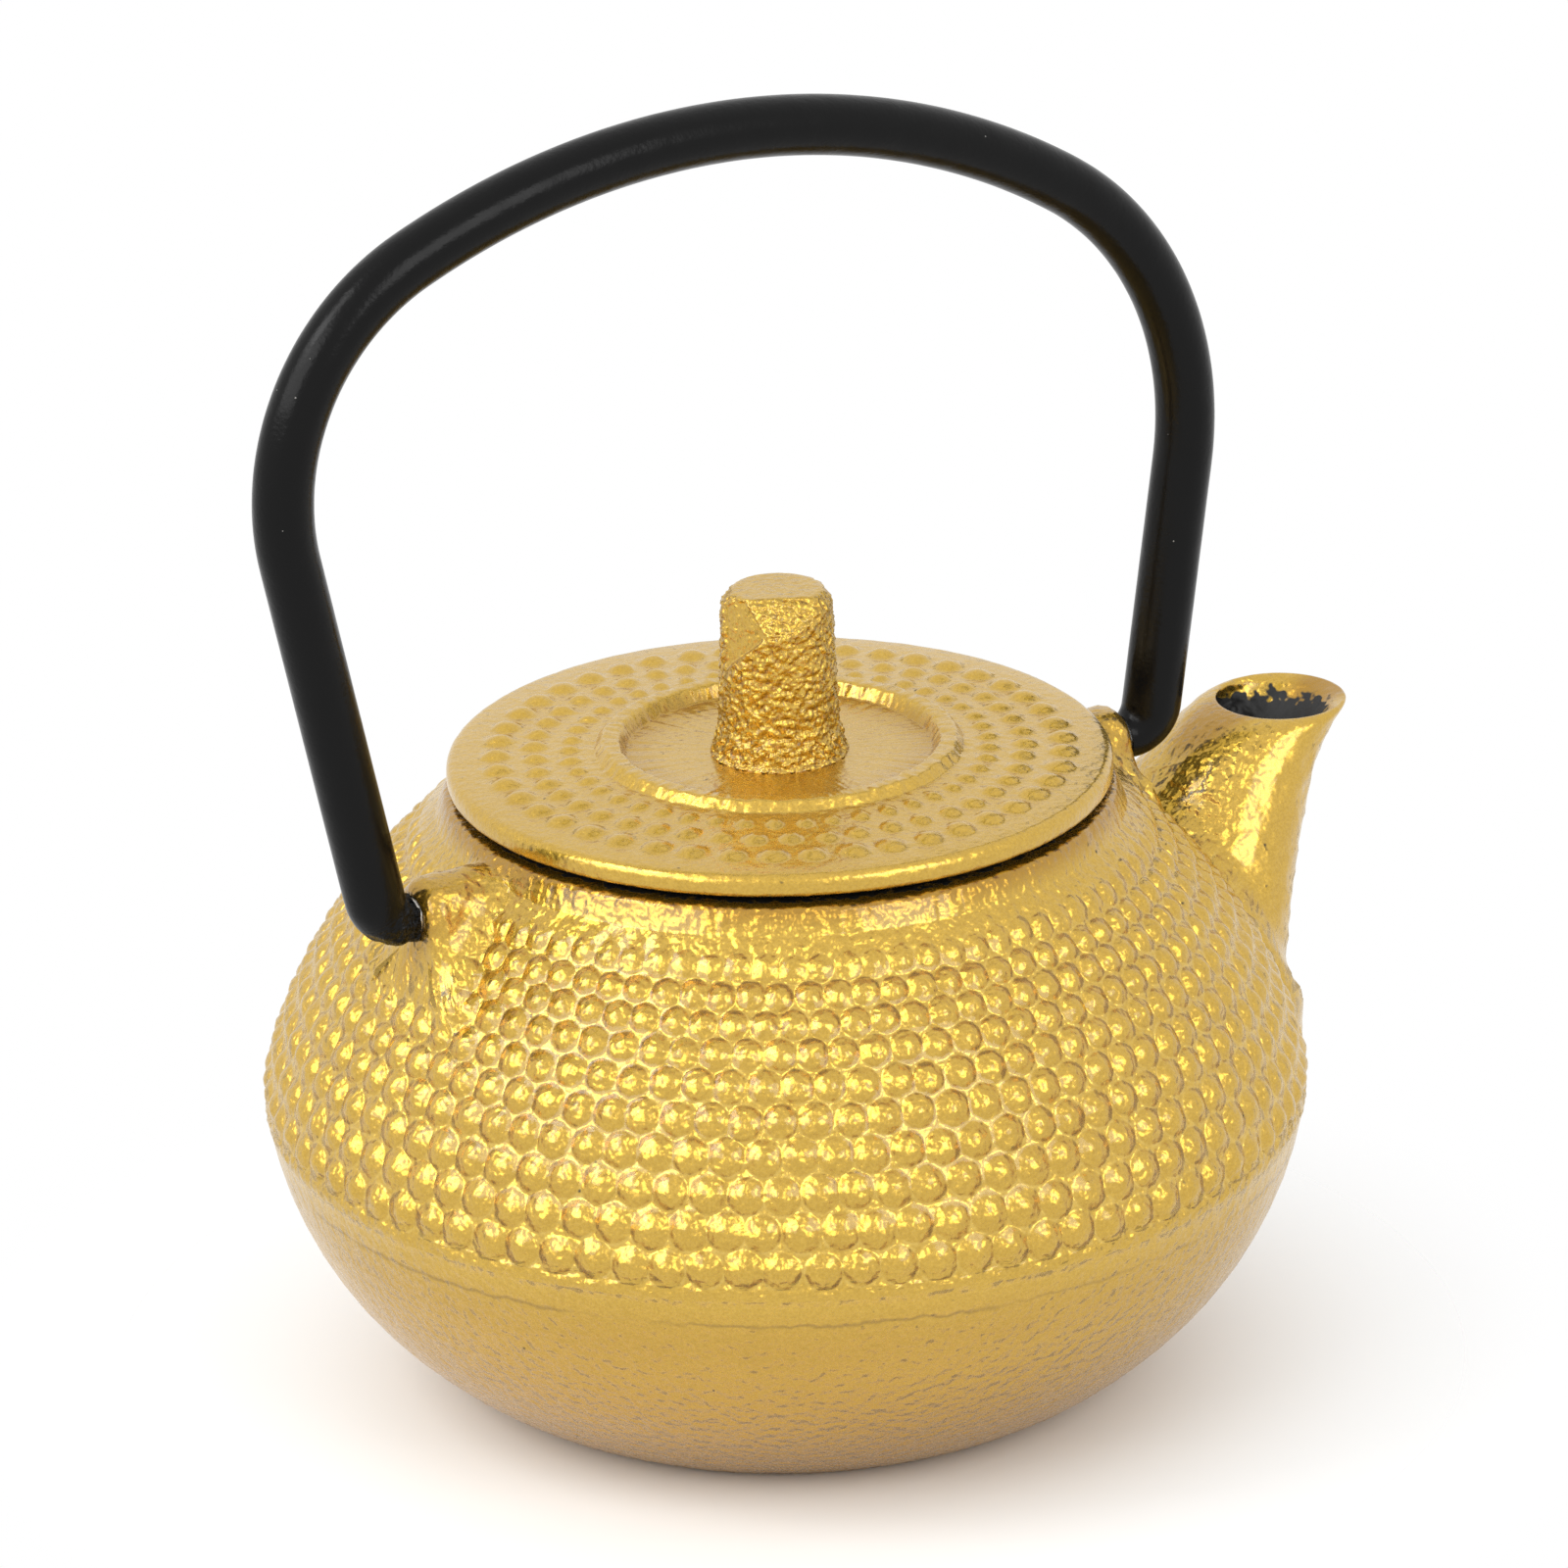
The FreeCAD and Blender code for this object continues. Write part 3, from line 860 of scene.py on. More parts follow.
def spoutRing(share, lipRadius, rootLength, rootWidth, bulge, shift):
    ease, bow = spoutShape["bowEase"], spoutShape["bow"]
    drawn = ((share + ease) ** bow - ease ** bow) / ((1 + ease) ** bow - ease ** bow)
    x = spoutLip.x + (spoutRoot.x - spoutLip.x) * drawn - shift * share ** 2
    z = spoutLip.y + (spoutRoot.y - spoutLip.y) * share
    halfLength = lipRadius + (rootLength - lipRadius) * share + bulge * math.sin(math.pi * share)
    halfWidth = lipRadius + (rootWidth - lipRadius) * share ** spoutShape["flare"]
    return x, z, halfLength, halfWidth


def spoutOval(share):
    form = spoutShape
    return spoutRing(share, form["lipRadius"], form["rootLength"], form["rootWidth"], form["bulge"], 0)


def boreOval(share):
    root = spoutShape["boreRoot"]
    return spoutRing(share, boreRadius, root, root, 0, spoutShape["boreShift"])


def spoutShare(point):  # 0 at the lip's height, 1 at the root's
    return max(0, (spoutLip.y - point.z) / spoutDrop)


def spoutOuter(share, inset):
    form = spoutShape
    x, z, halfLength, halfWidth = spoutOval(share)
    ring = []
    for cosine, sine in circle(form["columns"]):
        out = Vector((cosine / halfLength, sine / halfWidth, 0)).normalized()
        point = Vector((x + (halfLength - inset) * cosine, (halfWidth - inset) * sine, z))
        lumpy = lumpAt(point, form) * min(1, share * form["lipLumpFade"])
        ring.append(point + out * (filletOffset(point, form["fillet"]) + lumpy))
    return ring


def spoutSolid():
    form = spoutShape
    start = form["outerRound"] / spoutDrop
    levels = [(start + (1 - start) * ring / form["rings"], 0) for ring in range(form["rings"], -1, -1)]
    for turn in quarterTurns(form["lipSteps"]):  # lip rounded over
        levels.append((start * (1 - math.sin(turn)), form["outerRound"] * (1 - math.cos(turn))))
    return outwards(tubePiece("spoutSolid", [spoutOuter(*level) for level in levels]))


def spoutBore():
    form = spoutShape
    start = form["innerRound"] / spoutDrop
    count = form["boreRings"]
    ovals = [boreOval(start + form["boreShare"] * ring / count) for ring in range(count, -1, -1)]
    for turn in quarterTurns(form["lipSteps"]):
        radius = boreRadius + form["innerRound"] * (1 - math.cos(turn))
        ovals.append(spoutRing(start * (1 - math.sin(turn)), radius, radius, radius, 0, 0))
    x, z, halfLength, halfWidth = ovals[-1]
    ovals[-1] = (x, z + form["boreProud"], halfLength, halfWidth)
    around = circle(form["boreColumns"])
    rings = []
    for x, z, halfLength, halfWidth in ovals:
        rings.append([(x + halfLength * cosine, halfWidth * sine, z) for cosine, sine in around])
    return outwards(tubePiece("spoutBore", rings))


earShape = {
    "faces": {-1: 28.5, 1: 27.1},
    "root": 18.6,
    "halfWidth": 2.4,
    "spread": 0.42,
    "foot": 6.6,
    "endRound": 1.2,
    "endSteps": 9,
    "endFlat": 0.97,
    "endProud": 0.02,
    "endCap": 1.5,
    "fillet": 0.9,
    "lumps": 0.13,
    "lumpSize": 1.4,
    "stations": 26,
    "flankSteps": 10,
    "crownSteps": 16,
    "holeRadius": 1.38,
    "holeDepth": 3.6,
    "holeColumns": 32,
}


def earSection(half):
    form = earShape
    steps = form["flankSteps"]
    section = []
    for step in range(steps):
        depth = form["foot"] * (1 - step / steps)
        section.append((-half - form["spread"] * depth, -depth, -1, 0))
    for step in range(form["crownSteps"] + 1):
        turn = math.pi * (1 - step / form["crownSteps"])
        section.append((half * math.cos(turn), half * math.sin(turn), math.cos(turn), math.sin(turn)))
    for step in range(1, steps + 1):
        depth = form["foot"] * step / steps
        section.append((half + form["spread"] * depth, -depth, 1, 0))
    return section


def earSolid(side):
    form = earShape
    face, endRound = form["faces"][side], form["endRound"]
    straight = face - endRound
    reach = straight - form["root"]
    stations = [(form["root"] + reach * step / form["stations"], 0) for step in range(form["stations"] + 1)]
    for turn in quarterTurns(form["endSteps"])[:-1]:
        stations.append((straight + endRound * math.sin(turn), endRound * (1 - math.cos(turn))))
    stations.append((face, endRound * form["endFlat"]))
    stations.append((face + form["endProud"], endRound * form["endCap"]))
    rings = []
    for x, inset in stations:
        ring = []
        for y, z, outY, outZ in earSection(form["halfWidth"] - inset):
            point = Vector((side * x, y, earAxis + z))
            lumpy = lumpAt(point, form)
            bulge = filletOffset(point, form["fillet"])
            end = bulge if x > straight else 0
            ring.append(point + Vector((side * end, outY * (bulge + lumpy), outZ * lumpy)))
        rings.append(ring)
    return outwards(tubePiece("ear", rings))


def earHole(side):
    face, radius = earShape["faces"][side], earShape["holeRadius"]
    around = [(radius * cosine, earAxis + radius * sine) for cosine, sine in circle(earShape["holeColumns"])]
    rings = [[(side * x, *spot) for spot in around] for x in (face - earShape["holeDepth"], face + 2)]
    return outwards(tubePiece("earHole", rings))


def earGap(point):  # distance outside the nearer ear, less than 0 within it
    side = 1 if point.x > 0 else -1
    rise = point.z - earAxis
    across = abs(point.y) + earShape["spread"] * rise if rise < 0 else math.hypot(point.y, rise)
    return max(across - earShape["halfWidth"], abs(point.x) - earShape["faces"][side])


def spoutGap(point):
    x, z, halfLength, halfWidth = spoutOval(min(1, spoutShare(point)))
    return (math.hypot((point.x - x) / halfLength, point.y / halfWidth) - 1) * min(halfLength, halfWidth)


earsLow = 30  # no part of an ear is lower
seams = {
    "lowest": 16,
    "innermost": 17,
    "off": (-0.9, 2),
    "earReach": 1.1,
    "spoutReach": 1.4,
    "strength": 1.6,
    "pull": 0.6,
    "rounds": 9,
}


def seamShare(point):  # 1 in the corners where ears and spout leave the body, 0 away from them
    if point.z < seams["lowest"] or abs(point.x) < seams["innermost"]:
        return 0.0
    off = offBody(point)
    if off < seams["off"][0] or off > seams["off"][1]:
        return 0.0
    nearEar = 1 - math.hypot(off, earGap(point)) / seams["earReach"] if point.z > earsLow else 0
    nearSpout = 1 - math.hypot(off, spoutGap(point)) / seams["spoutReach"] if point.x > 0 else 0
    return clamp(seams["strength"] * max(nearEar, nearSpout))


def softenSeams(piece):
    shell = bmesh.new()
    shell.from_mesh(piece.data)
    weights = [(vertex, seams["pull"] * seamShare(vertex.co / mm)) for vertex in shell.verts]
    weights = [(vertex, weight) for vertex, weight in weights if weight > 0]
    for sweep in range(seams["rounds"]):
        moved = []
        for vertex, weight in weights:
            ring = [edge.other_vert(vertex).co for edge in vertex.link_edges]
            moved.append((vertex, vertex.co.lerp(sum(ring, Vector()) / len(ring), weight)))
        for vertex, spot in moved:
            vertex.co = spot
    shell.to_mesh(piece.data)
    shell.free()


potFinish = {
    "lipBand": 0.7,
    "lipReach": 0.3,
    "enamelInset": 0.5,
    "enamelFade": 0.9,
    "rebateSlack": (0.1, 0.3),
    "innerDepth": -0.9,
    "innerHeights": (0.5, 0.2),
    "onBody": 0.3,
    "boreSlack": 1.03,
    "sprayBearing": 50.0,
    "sprayStart": 0.4,
    "sprayDepth": (0.85, 1.3),
    # painted shade: how much deeper amber is laid low on the bowl, toward the foot, under the lid and round
    # the bail's ends
    "bowlPaintedShade": (0.4, 17.2),
    "footPaintedShade": (0.65, 13),
    "collarPaintedShade": 1.4,
    "bailPaintedShade": {"from": 24, "strength": 0.8, "reach": 2.9, "fade": 1.2},
    "deepest": 0.85,
    "nailLow": 18,
    "nailOff": 0.65,
    "nailClear": 0.5,
    "spoutFrom": (25, 20),
    "spoutCoarse": (0.4, 0.7),
    "spoutSmoothSide": -32.0,
    "spoutFade": (0.35, 0.3),
    "bowlCoarse": 1.2,
    "bandCoarse": 0.6,
    "bandTop": 18.7,
}


def insideShare(point):  # 1 on the enamelled inside of the bowl and the spout, 0 outside
    look = potFinish
    radius = math.hypot(point.x, point.y)
    lip = potShape["lipRadius"]
    if point.z > collarTop - look["lipBand"] and radius < lip + look["lipReach"]:
        return clamp((lip - look["enamelInset"] - radius) / look["enamelFade"])
    slackOut, slackDown = look["rebateSlack"]
    if radius < potShape["rebateRadius"] + slackOut and point.z > rebateFloor - slackDown:
        return 1.0
    above, below = look["innerHeights"]
    if above < point.z < rebateFloor - below and offBody(point) < look["innerDepth"]:
        return 1.0
    if point.x < spoutRoot.x or point.z < spoutRoot.y:
        return 0.0
    x, z, halfLength, halfWidth = boreOval(spoutShare(point))
    if math.hypot((point.x - x) / halfLength, point.y / halfWidth) > look["boreSlack"]:
        return 0.0
    facing = Vector((point.x - x, point.y)).normalized().dot(turned(look["sprayBearing"]))
    sprayed = max(0, facing - look["sprayStart"]) / (1 - look["sprayStart"])  # gold paint that went in
    return clamp((spoutLip.y - point.z) / (look["sprayDepth"][0] + look["sprayDepth"][1] * sprayed))


def potPaintedShade(point):  # painted shade: darker colour low on the bowl and toward the foot, under the lid and round the bail's ends
    look = potFinish
    (bowlShare, bowlTop), (footShare, footTop) = look["bowlPaintedShade"], look["footPaintedShade"]
    paintedShade = bowlShare * min(1.0, bowlTop - point.z) + footShare * max(0.0, 1 - point.z / footTop)
    if offBody(point) < look["onBody"] and point.z > collarTop - look["collarPaintedShade"]:
        paintedShade = point.z - collarTop + look["collarPaintedShade"]
    bail = look["bailPaintedShade"]
    if abs(point.x) > bail["from"]:
        near = bail["reach"] - math.hypot(point.y, point.z - earAxis)
        paintedShade = max(paintedShade, bail["strength"] * near / bail["fade"])
    return clamp(paintedShade, 0.0, look["deepest"])


def domeShare(point):  # how high the hobnails stand, none on ears and spout
    look = potFinish
    phase = phaseAt(point)
    if phase < 0 or phase > potHobnails["rows"] or point.z < look["nailLow"]:
        return 0.0
    if abs(offBody(point)) > look["nailOff"]:
        return 0.0
    clear = min(earGap(point) if point.z > earsLow else 1, spoutGap(point) if point.x > 0 else 1)
    return domeSize(phase, math.hypot(point.x, point.y)) * clamp(clear / look["nailClear"])


def potCoarse(point):  # how strongly the casting grain shows
    look = potFinish
    onSpout = point.x > look["spoutFrom"][0] and point.z > look["spoutFrom"][1]
    if onSpout and spoutGap(point) < 1 and offBody(point) > look["onBody"]:
        x = spoutOval(spoutShare(point))[0]
        facing = Vector((point.x - x, point.y)).normalized().dot(turned(look["spoutSmoothSide"]))
        least, more = look["spoutCoarse"]
        return least + more * clamp((look["spoutFade"][0] - facing) / look["spoutFade"][1])
    if point.z < potShape["partingHeight"]:
        return look["bowlCoarse"]
    return look["bandCoarse"] if point.z < look["bandTop"] else 1.0


def makePot():
    nails = potHobnails
    look = nails["look"]
    shared = ("Rows", "Domes Around", "Seed", "Dome Turn", "Dome Drift", "Dome Variety")
    domes = {label: look[label] for label in shared}
    domes.update({
        "Dome Height": nails["trueHeight"] * mm,
        "Dome Reach": nails["trueReach"],
        "Cast Height": nails["castHeight"] * mm,
        "Cast Reach": nails["castReach"],
        "Groove Round": nails["grooveRound"] * mm,
    })
    finish = goldMaterial("goldPotCasting", potShape["grain"], potShape["partingHeight"] * mm, domes)
    pot = turnedCasting("potCasting", potRings(), look, finish)
    for solid in (spoutSolid(), earSolid(1), earSolid(-1)):
        combine(pot, solid, "UNION")
    softenSeams(pot)
    plain = dict(look, **{"Columns": potShape["cavityColumns"], "Lump Height": 0.0, "Ledge Height": 0.0})
    cavity = turnedCasting("potCavity", potCavity(), plain, finish)
    for solid in (cavity, spoutBore(), earHole(1), earHole(-1)):
        combine(pot, solid, "DIFFERENCE")
    pot.data.materials.clear()
    pot.data.materials.append(finish)
    pot.data.polygons.foreach_set("material_index", [0] * len(pot.data.polygons))
    storeValues(pot, "inside", insideShare)
    storeValues(pot, "coarse", potCoarse)
    storeValues(pot, "paintedShade", potPaintedShade)
    storeValues(pot, "rowPhase", phaseAt)
    storeValues(pot, "domeShare", domeShare)
    smooth(pot, potShape["sharpAngle"])
    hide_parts("pot_body", "pot_spout")
    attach(pot, "pot")
    pot.data.calc_loop_triangles()
    print("pot cast:", len(pot.data.loop_triangles), "triangles")


makePot()


# Lid casting
lidShape = {
    "rimRise": 1.5,
    "edgeRound": 0.4,
    "rimRound": 0.65,
    "ringRadius": 11.2,
    "ringWidth": 2.1,
    "ringCrest": 1.05,
    "ringHeight": 0.7,
    "ringFootRound": 0.25,
    "ringCrestRound": 0.4,
    "ringCrumbs": 0.3,
    "crumbRadii": (9.5, 12.6),
    # painted shade round the inner foot of the ring: strength and reach
    "ringPaintedShade": (0.6, 0.5),
    "recess": 0.25,
    "recessRing": 7.5,
    "dome": 0.55,
    "holeRadius": 1.95,
    "skirtInner": 12.95,
    "skirtOuter": 14.45,
    "skirtRound": 0.4,
    "seatInner": 18.4,
    "seatOuter": 20.2,
    "seatRound": 0.1,
    "gap": 0.6,
    "enamelRise": 0.15,
    "enamelFade": 0.25,
    "coarse": 0.8,
    "sharpAngle": 48,
    "grain": {"Grain Size": 0.0002, "Grain Relief": 0.08, "Lump Size": 0.0006, "Lump Relief": 0.2},
}
lidHobnails = {
    "rows": ((20.1, 0.42, 0.39), (17.5, 0.36, 0.36), (15.05, 0.3, 0.32)),
    "innerEdge": 12.75,
    "ringsPerRow": 9,
    "look": {
        "Columns": 540,
        "Rows": 3,
        "Domes Around": 45,
        "Seed": 9,
        "Dome Turn": 0.0,
        "Dome Shape": 0.8,
        "Dome Drift": 0.08,
        "Dome Variety": 0.1,
        "Ledge Height": 0.0,
        "Lump Height": 0.09 * mm,
        "Lump Size": 1.6 * mm,
    },
}
lidUnder = collarTop + lidShape["gap"]
rimTop = lidUnder + lidShape["rimRise"]
ringFoot = rimTop + lidShape["dome"]
lidRecess = ringFoot - lidShape["recess"]


def lidRings():
    form = lidShape
    rows, innerEdge = lidHobnails["rows"], lidHobnails["innerEdge"]
    under = roundedPath([
        (form["holeRadius"], lidRecess),
        (form["holeRadius"], lidUnder),
        (form["skirtInner"], lidUnder),
        (form["skirtInner"], lidLow.z, form["skirtRound"]),
        (form["skirtOuter"], lidLow.z, form["skirtRound"]),
        (form["skirtOuter"], lidUnder),
        (form["seatInner"], lidUnder),
        (form["seatInner"], collarTop, form["seatRound"]),
        (form["seatOuter"], collarTop, form["seatRound"]),
        (form["seatOuter"], lidUnder),
        (lidHigh.x, lidUnder, form["edgeRound"]),
        (lidHigh.x, rimTop, form["rimRound"]),
        (rows[0][0], rimTop + 0.1),
    ])
    rings = [ringOf(*spot) for spot in under[:-1]]
    edges = [row[0] for row in rows] + [innerEdge]
    ringOuter = form["ringRadius"] + form["ringWidth"] / 2
    for row, (start, height, reach) in enumerate(rows):
        for step in range(lidHobnails["ringsPerRow"]):
            share = step / lidHobnails["ringsPerRow"]
            radius = start + (edges[row + 1] - start) * share
            rise = form["dome"] * (lidHigh.x - radius) / (lidHigh.x - ringOuter)
            rings.append(ringOf(radius, rimTop + rise, row + share, height, reach))
    crest = ringFoot + form["ringHeight"]
    top = roundedPath([
        (innerEdge, ringFoot - 0.02),
        (ringOuter, ringFoot, form["ringFootRound"]),
        (form["ringRadius"] + form["ringCrest"] / 2, crest, form["ringCrestRound"]),
        (form["ringRadius"] - form["ringCrest"] / 2, crest, form["ringCrestRound"]),
        (form["ringRadius"] - form["ringWidth"] / 2, lidRecess, form["ringFootRound"]),
        (form["recessRing"], lidRecess),
        (form["holeRadius"], lidRecess),
    ])
    innermost, outermost = form["crumbRadii"]
    for radius, height in top:
        rough = innermost < radius < outermost
        rings.append(ringOf(radius, height, crumbs=form["ringCrumbs"] if rough else 0))
    return rings


def lidInside(point):
    return clamp((lidUnder + lidShape["enamelRise"] - point.z) / lidShape["enamelFade"])


# painted shade: colour darkened round the inner foot of the ring on the lid's top
def lidPaintedShade(point):
    strength, reach = lidShape["ringPaintedShade"]
    radius = math.hypot(point.x, point.y)
    ringStep = abs(radius - lidShape["ringRadius"] + lidShape["ringWidth"] / 2)
    return strength * max(0.0, 1 - ringStep / reach) if point.z > lidUnder + 1 else 0.0


def makeLid():
    finish = goldMaterial("goldLidCasting", lidShape["grain"])
    lid = turnedCasting("lidCasting", lidRings(), lidHobnails["look"], finish)
    storeValues(lid, "inside", lidInside)
    storeValues(lid, "coarse", lambda point: lidShape["coarse"])
    storeValues(lid, "paintedShade", lidPaintedShade)
    smooth(lid, lidShape["sharpAngle"])
    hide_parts("lid")
    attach(lid, "lid")
    print("lid cast:", len(lid.data.polygons), "faces")


makeLid()


# Knob: a rough post on a foot ring, with a smooth flat and a slanted flat cut from its top
knobShape = {
    "peenRadius": 3.0,
    "peenThickness": 0.9,
    "peenRound": 0.4,
    "tenonRadius": 1.9,
    "footRadius": 4.6,
    "footRise": 0.3,
    "footRound": 0.3,
    "ringRadius": 4.15,
    "ringSpread": 0.2,
    "ringRise": 1.3,
    "ringRound": 0.4,
    "neckRadius": 3.95,
    "neckRise": 2.1,
    "neckRound": 0.6,
    "headRadius": 3.65,
    "headRound": 0.6,
    "crownRadius": 3.0,
    "crownHeight": 0.8,
    "crownRound": 0.5,
    "topDrop": 0.25,
    "flats": (
        {"bearing": 242.0, "tilt": 38.0, "distance": 2.1, "lumps": 1.0, "ends": (9.0, 0.0)},
        {"bearing": 195.0, "tilt": 5.0, "distance": 3.05, "lumps": 0.25, "ends": (2.6, 0.0525)},
    ),
    "flatRound": 0.35,
    "flatEdge": 0.3,
    "endBearing": 221.7,
    "endFade": 0.25,
    "lumps": 0.15,
    "lumpSize": 0.43,
    "postLumps": 1.0,
    "footLumps": 1.4,
    "topLumps": 0.3,
    "footTop": 1.6,
    "coarse": (0.35, 0.9),
    # painted shade in the pits between the lumps
    "paintedShade": {"start": 0.1, "strength": 0.9, "deepest": 0.7},
    "columns": 260,
    "ringStep": 0.1,
    "sharpAngle": 70,
    "grain": {"Grain Size": 0.0002, "Grain Relief": 0.06, "Lump Size": 0.0005, "Lump Relief": 0.45},
}
knobTop = knobHigh.z - knobShape["topDrop"]


def knobPath():
    form = knobShape
    peenUnder = lidUnder - form["peenThickness"]
    corners = [
        (0, peenUnder),
        (form["peenRadius"], peenUnder, form["peenRound"]),
        (form["peenRadius"], lidUnder),
        (form["tenonRadius"], lidUnder),
        (form["tenonRadius"], lidRecess),
        (form["footRadius"], lidRecess),
        (form["ringRadius"] + form["ringSpread"], lidRecess + form["footRise"], form["footRound"]),
        (form["ringRadius"], lidRecess + form["ringRise"], form["ringRound"]),
        (form["neckRadius"], lidRecess + form["neckRise"], form["neckRound"]),
        (form["headRadius"], knobTop - form["crownHeight"], form["headRound"]),
        (form["crownRadius"], knobTop, form["crownRound"]),
        (0, knobTop),
    ]
    rounded = [Vector(spot) for spot in roundedPath(corners)]
    path = []
    for start, end in zip(rounded, rounded[1:]):
        steps = max(1, round((end - start).length / form["ringStep"]))
        path += [start.lerp(end, step / steps) for step in range(steps)]
    return path + [rounded[-1]]


def knobLumpShare(height):
    if height < lidRecess + 0.05:
        return 0.0
    if height > knobTop - 0.1:
        return knobShape["topLumps"]
    return knobShape["postLumps"] if height > lidRecess + knobShape["footTop"] else knobShape["footLumps"]


def makeKnob():
    form = knobShape
    cuts = []
    for flat in form["flats"]:
        level, rise = turned(flat["tilt"])
        facing = Vector((*turned(flat["bearing"]) * level, rise))
        cuts.append((facing, level * flat["distance"] + rise * knobTop, flat["lumps"], flat["ends"]))
    rings = []
    lumpShares = []
    paintedShades = []
    for spot in knobPath():
        ring = []
        for column in range(form["columns"]):
            degrees = 360 * column / form["columns"]
            out = Vector((*turned(degrees), 0))
            point = out * spot.x + Vector((0, 0, spot.y))
            share = knobLumpShare(spot.y)
            for facing, reach, lumps, (endDepth, endSlope) in cuts:
                past = facing.dot(point) - reach
                end = endDepth + endSlope * (form["endBearing"] - degrees)
                weight = clamp((end - knobTop + point.z) / form["endFade"])
                weight *= clamp(0.5 + past / form["flatEdge"])
                if past > -1 and share > 0 and weight > 0:
                    point -= facing * weight * (past + math.hypot(past, form["flatRound"])) / 2
                    share += (lumps - share) * weight
            lump = noise.fractal(point / form["lumpSize"], 0.6, 2.1, 4)
            ring.append(point + out * lump * form["lumps"] * share * min(1, spot.x))
            lumpShares.append(form["coarse"][0] + form["coarse"][1] * min(1, share))
            # painted shade: colour darkened in the pits between the lumps
            pit = max(0, form["paintedShade"]["start"] - lump) * form["paintedShade"]["strength"] * min(1, share)
            paintedShades.append(min(form["paintedShade"]["deepest"], pit))
        rings.append(ring)
    knob = tubePiece("knobCasting", rings, False)
    storeList(knob.data, "coarse", lumpShares)
    storeList(knob.data, "paintedShade", paintedShades)
    outwards(knob)
    storeValues(knob, "inside", lambda point: 1.0 if point.z < lidUnder else 0.0)
    smooth(knob, form["sharpAngle"])
    knob.data.materials.append(goldMaterial("goldKnobCasting", form["grain"]))
    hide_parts("lid_knob")
    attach(knob, "lid")
    print("knob cast:", len(knob.data.polygons), "faces")


makeKnob()


# Bail: black sleeve on a bent wire
bailShape = {
    "sleeveRadius": 2.0,
    "endGap": 0.25,
    "rise": 49.0,
    "endBend": 2.4,
    "endStep": 0.2,
    "rearOffset": 0.5,
    "frontOffset": 0.36,
    "rearLean": 12.6,
    "frontLean": 8.8,
    "rearKnee": 16.3,
    "frontKnee": 21.7,
    "crownRound": 53.5,
    "crownShift": -6.45,
    "crumpleLength": 2.6,
    "crumple": 0.4,
    "foldSize": 0.9,
    "foldStart": 0.5,
    "pinchCurve": 1.5,
    "rearPinch": (4.0, 0.86),
    "frontPinch": (3.2, 0.74),
    "columns": 48,
    "step": 0.5,
    "sharpAngle": 50,
}
crownCentre = Vector((bailShape["crownShift"], earAxis + bailShape["rise"] - bailShape["crownRound"]))


def arcStations(centre, radius, first, last, step):
    count = max(2, math.ceil(abs(math.radians(last - first)) * radius / step))
    return [centre + turned(first + (last - first) * index / count) * radius for index in range(count + 1)]


def bailSide(side, offset, lean, knee):
    form = bailShape
    bend = Vector((side * (earShape["faces"][side] + offset), earAxis + form["endBend"]))
    outward = -lean if side > 0 else 180 + lean
    legFoot = bend + turned(outward) * form["endBend"]
    climb = Vector((side * math.sin(math.radians(lean)), math.cos(math.radians(lean))))
    rail = legFoot - turned(outward) * knee
    gap = rail - crownCentre
    along = gap.dot(climb)
    rise = math.sqrt((form["crownRound"] - knee) ** 2 - gap.length_squared + along ** 2) - along
    kneeCentre = rail + climb * rise
    join = bearing(crownCentre, kneeCentre)
    down = -90 if side > 0 else 270
    legSteps = round(rise / form["step"])
    stations = arcStations(bend, form["endBend"], down, outward, form["endStep"])
    stations += [legFoot + climb * (rise * step / legSteps) for step in range(1, legSteps)]
    stations += arcStations(kneeCentre, knee, outward, join, form["step"])
    return stations, join


def bailLine():
    form = bailShape
    rear, rearJoin = bailSide(-1, form["rearOffset"], form["rearLean"], form["rearKnee"])
    front, frontJoin = bailSide(1, form["frontOffset"], form["frontLean"], form["frontKnee"])
    crown = arcStations(crownCentre, form["crownRound"], rearJoin, frontJoin, form["step"])
    rearEnd = [Vector((-earShape["faces"][-1] - form["endGap"], earAxis))]
    frontEnd = [Vector((earShape["faces"][1] + form["endGap"], earAxis))]
    return rearEnd + rear + crown[1:-1] + front[::-1] + frontEnd


def makeSleeve():
    form = bailShape
    line = bailLine()
    rings = []
    creases = []
    gone = 0.0
    whole = sum((end - start).length for start, end in zip(line, line[1:]))
    for index, spot in enumerate(line):
        before = line[max(index - 1, 0)]
        gone += (spot - before).length
        crushed = max(0, 1 - gone / form["crumpleLength"])
        pinched = form["sleeveRadius"]
        for away, (length, share) in ((gone, form["rearPinch"]), (whole - gone, form["frontPinch"])):
            pinched *= 1 - (1 - share) * max(0, 1 - away / length) ** form["pinchCurve"]
        along = (line[min(index + 1, len(line) - 1)] - before).normalized()
        middle = Vector((spot.x, 0, spot.y))
        ring = []
        for cosine, sine in circle(form["columns"]):
            arm = Vector((-along.y * cosine, sine, along.x * cosine))
            point = middle + arm * form["sleeveRadius"]
            fold = form["foldStart"] - noise.fractal(point / form["foldSize"], 0.8, 2.0, 2)
            ring.append(middle + arm * (pinched - crushed * form["crumple"] * max(0, fold)))
            creases.append(crushed)
        rings.append(ring)
    sleeve = tubePiece("bailSleeve", rings)
    storeList(sleeve.data, "crease", creases)
    outwards(sleeve)
    smooth(sleeve, form["sharpAngle"])
    sleeve.data.materials.append(sleeveMaterial())
    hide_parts("bail_sleeve")
    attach(sleeve, "bail")
    print("sleeve bent:", len(sleeve.data.polygons), "faces")


makeSleeve()


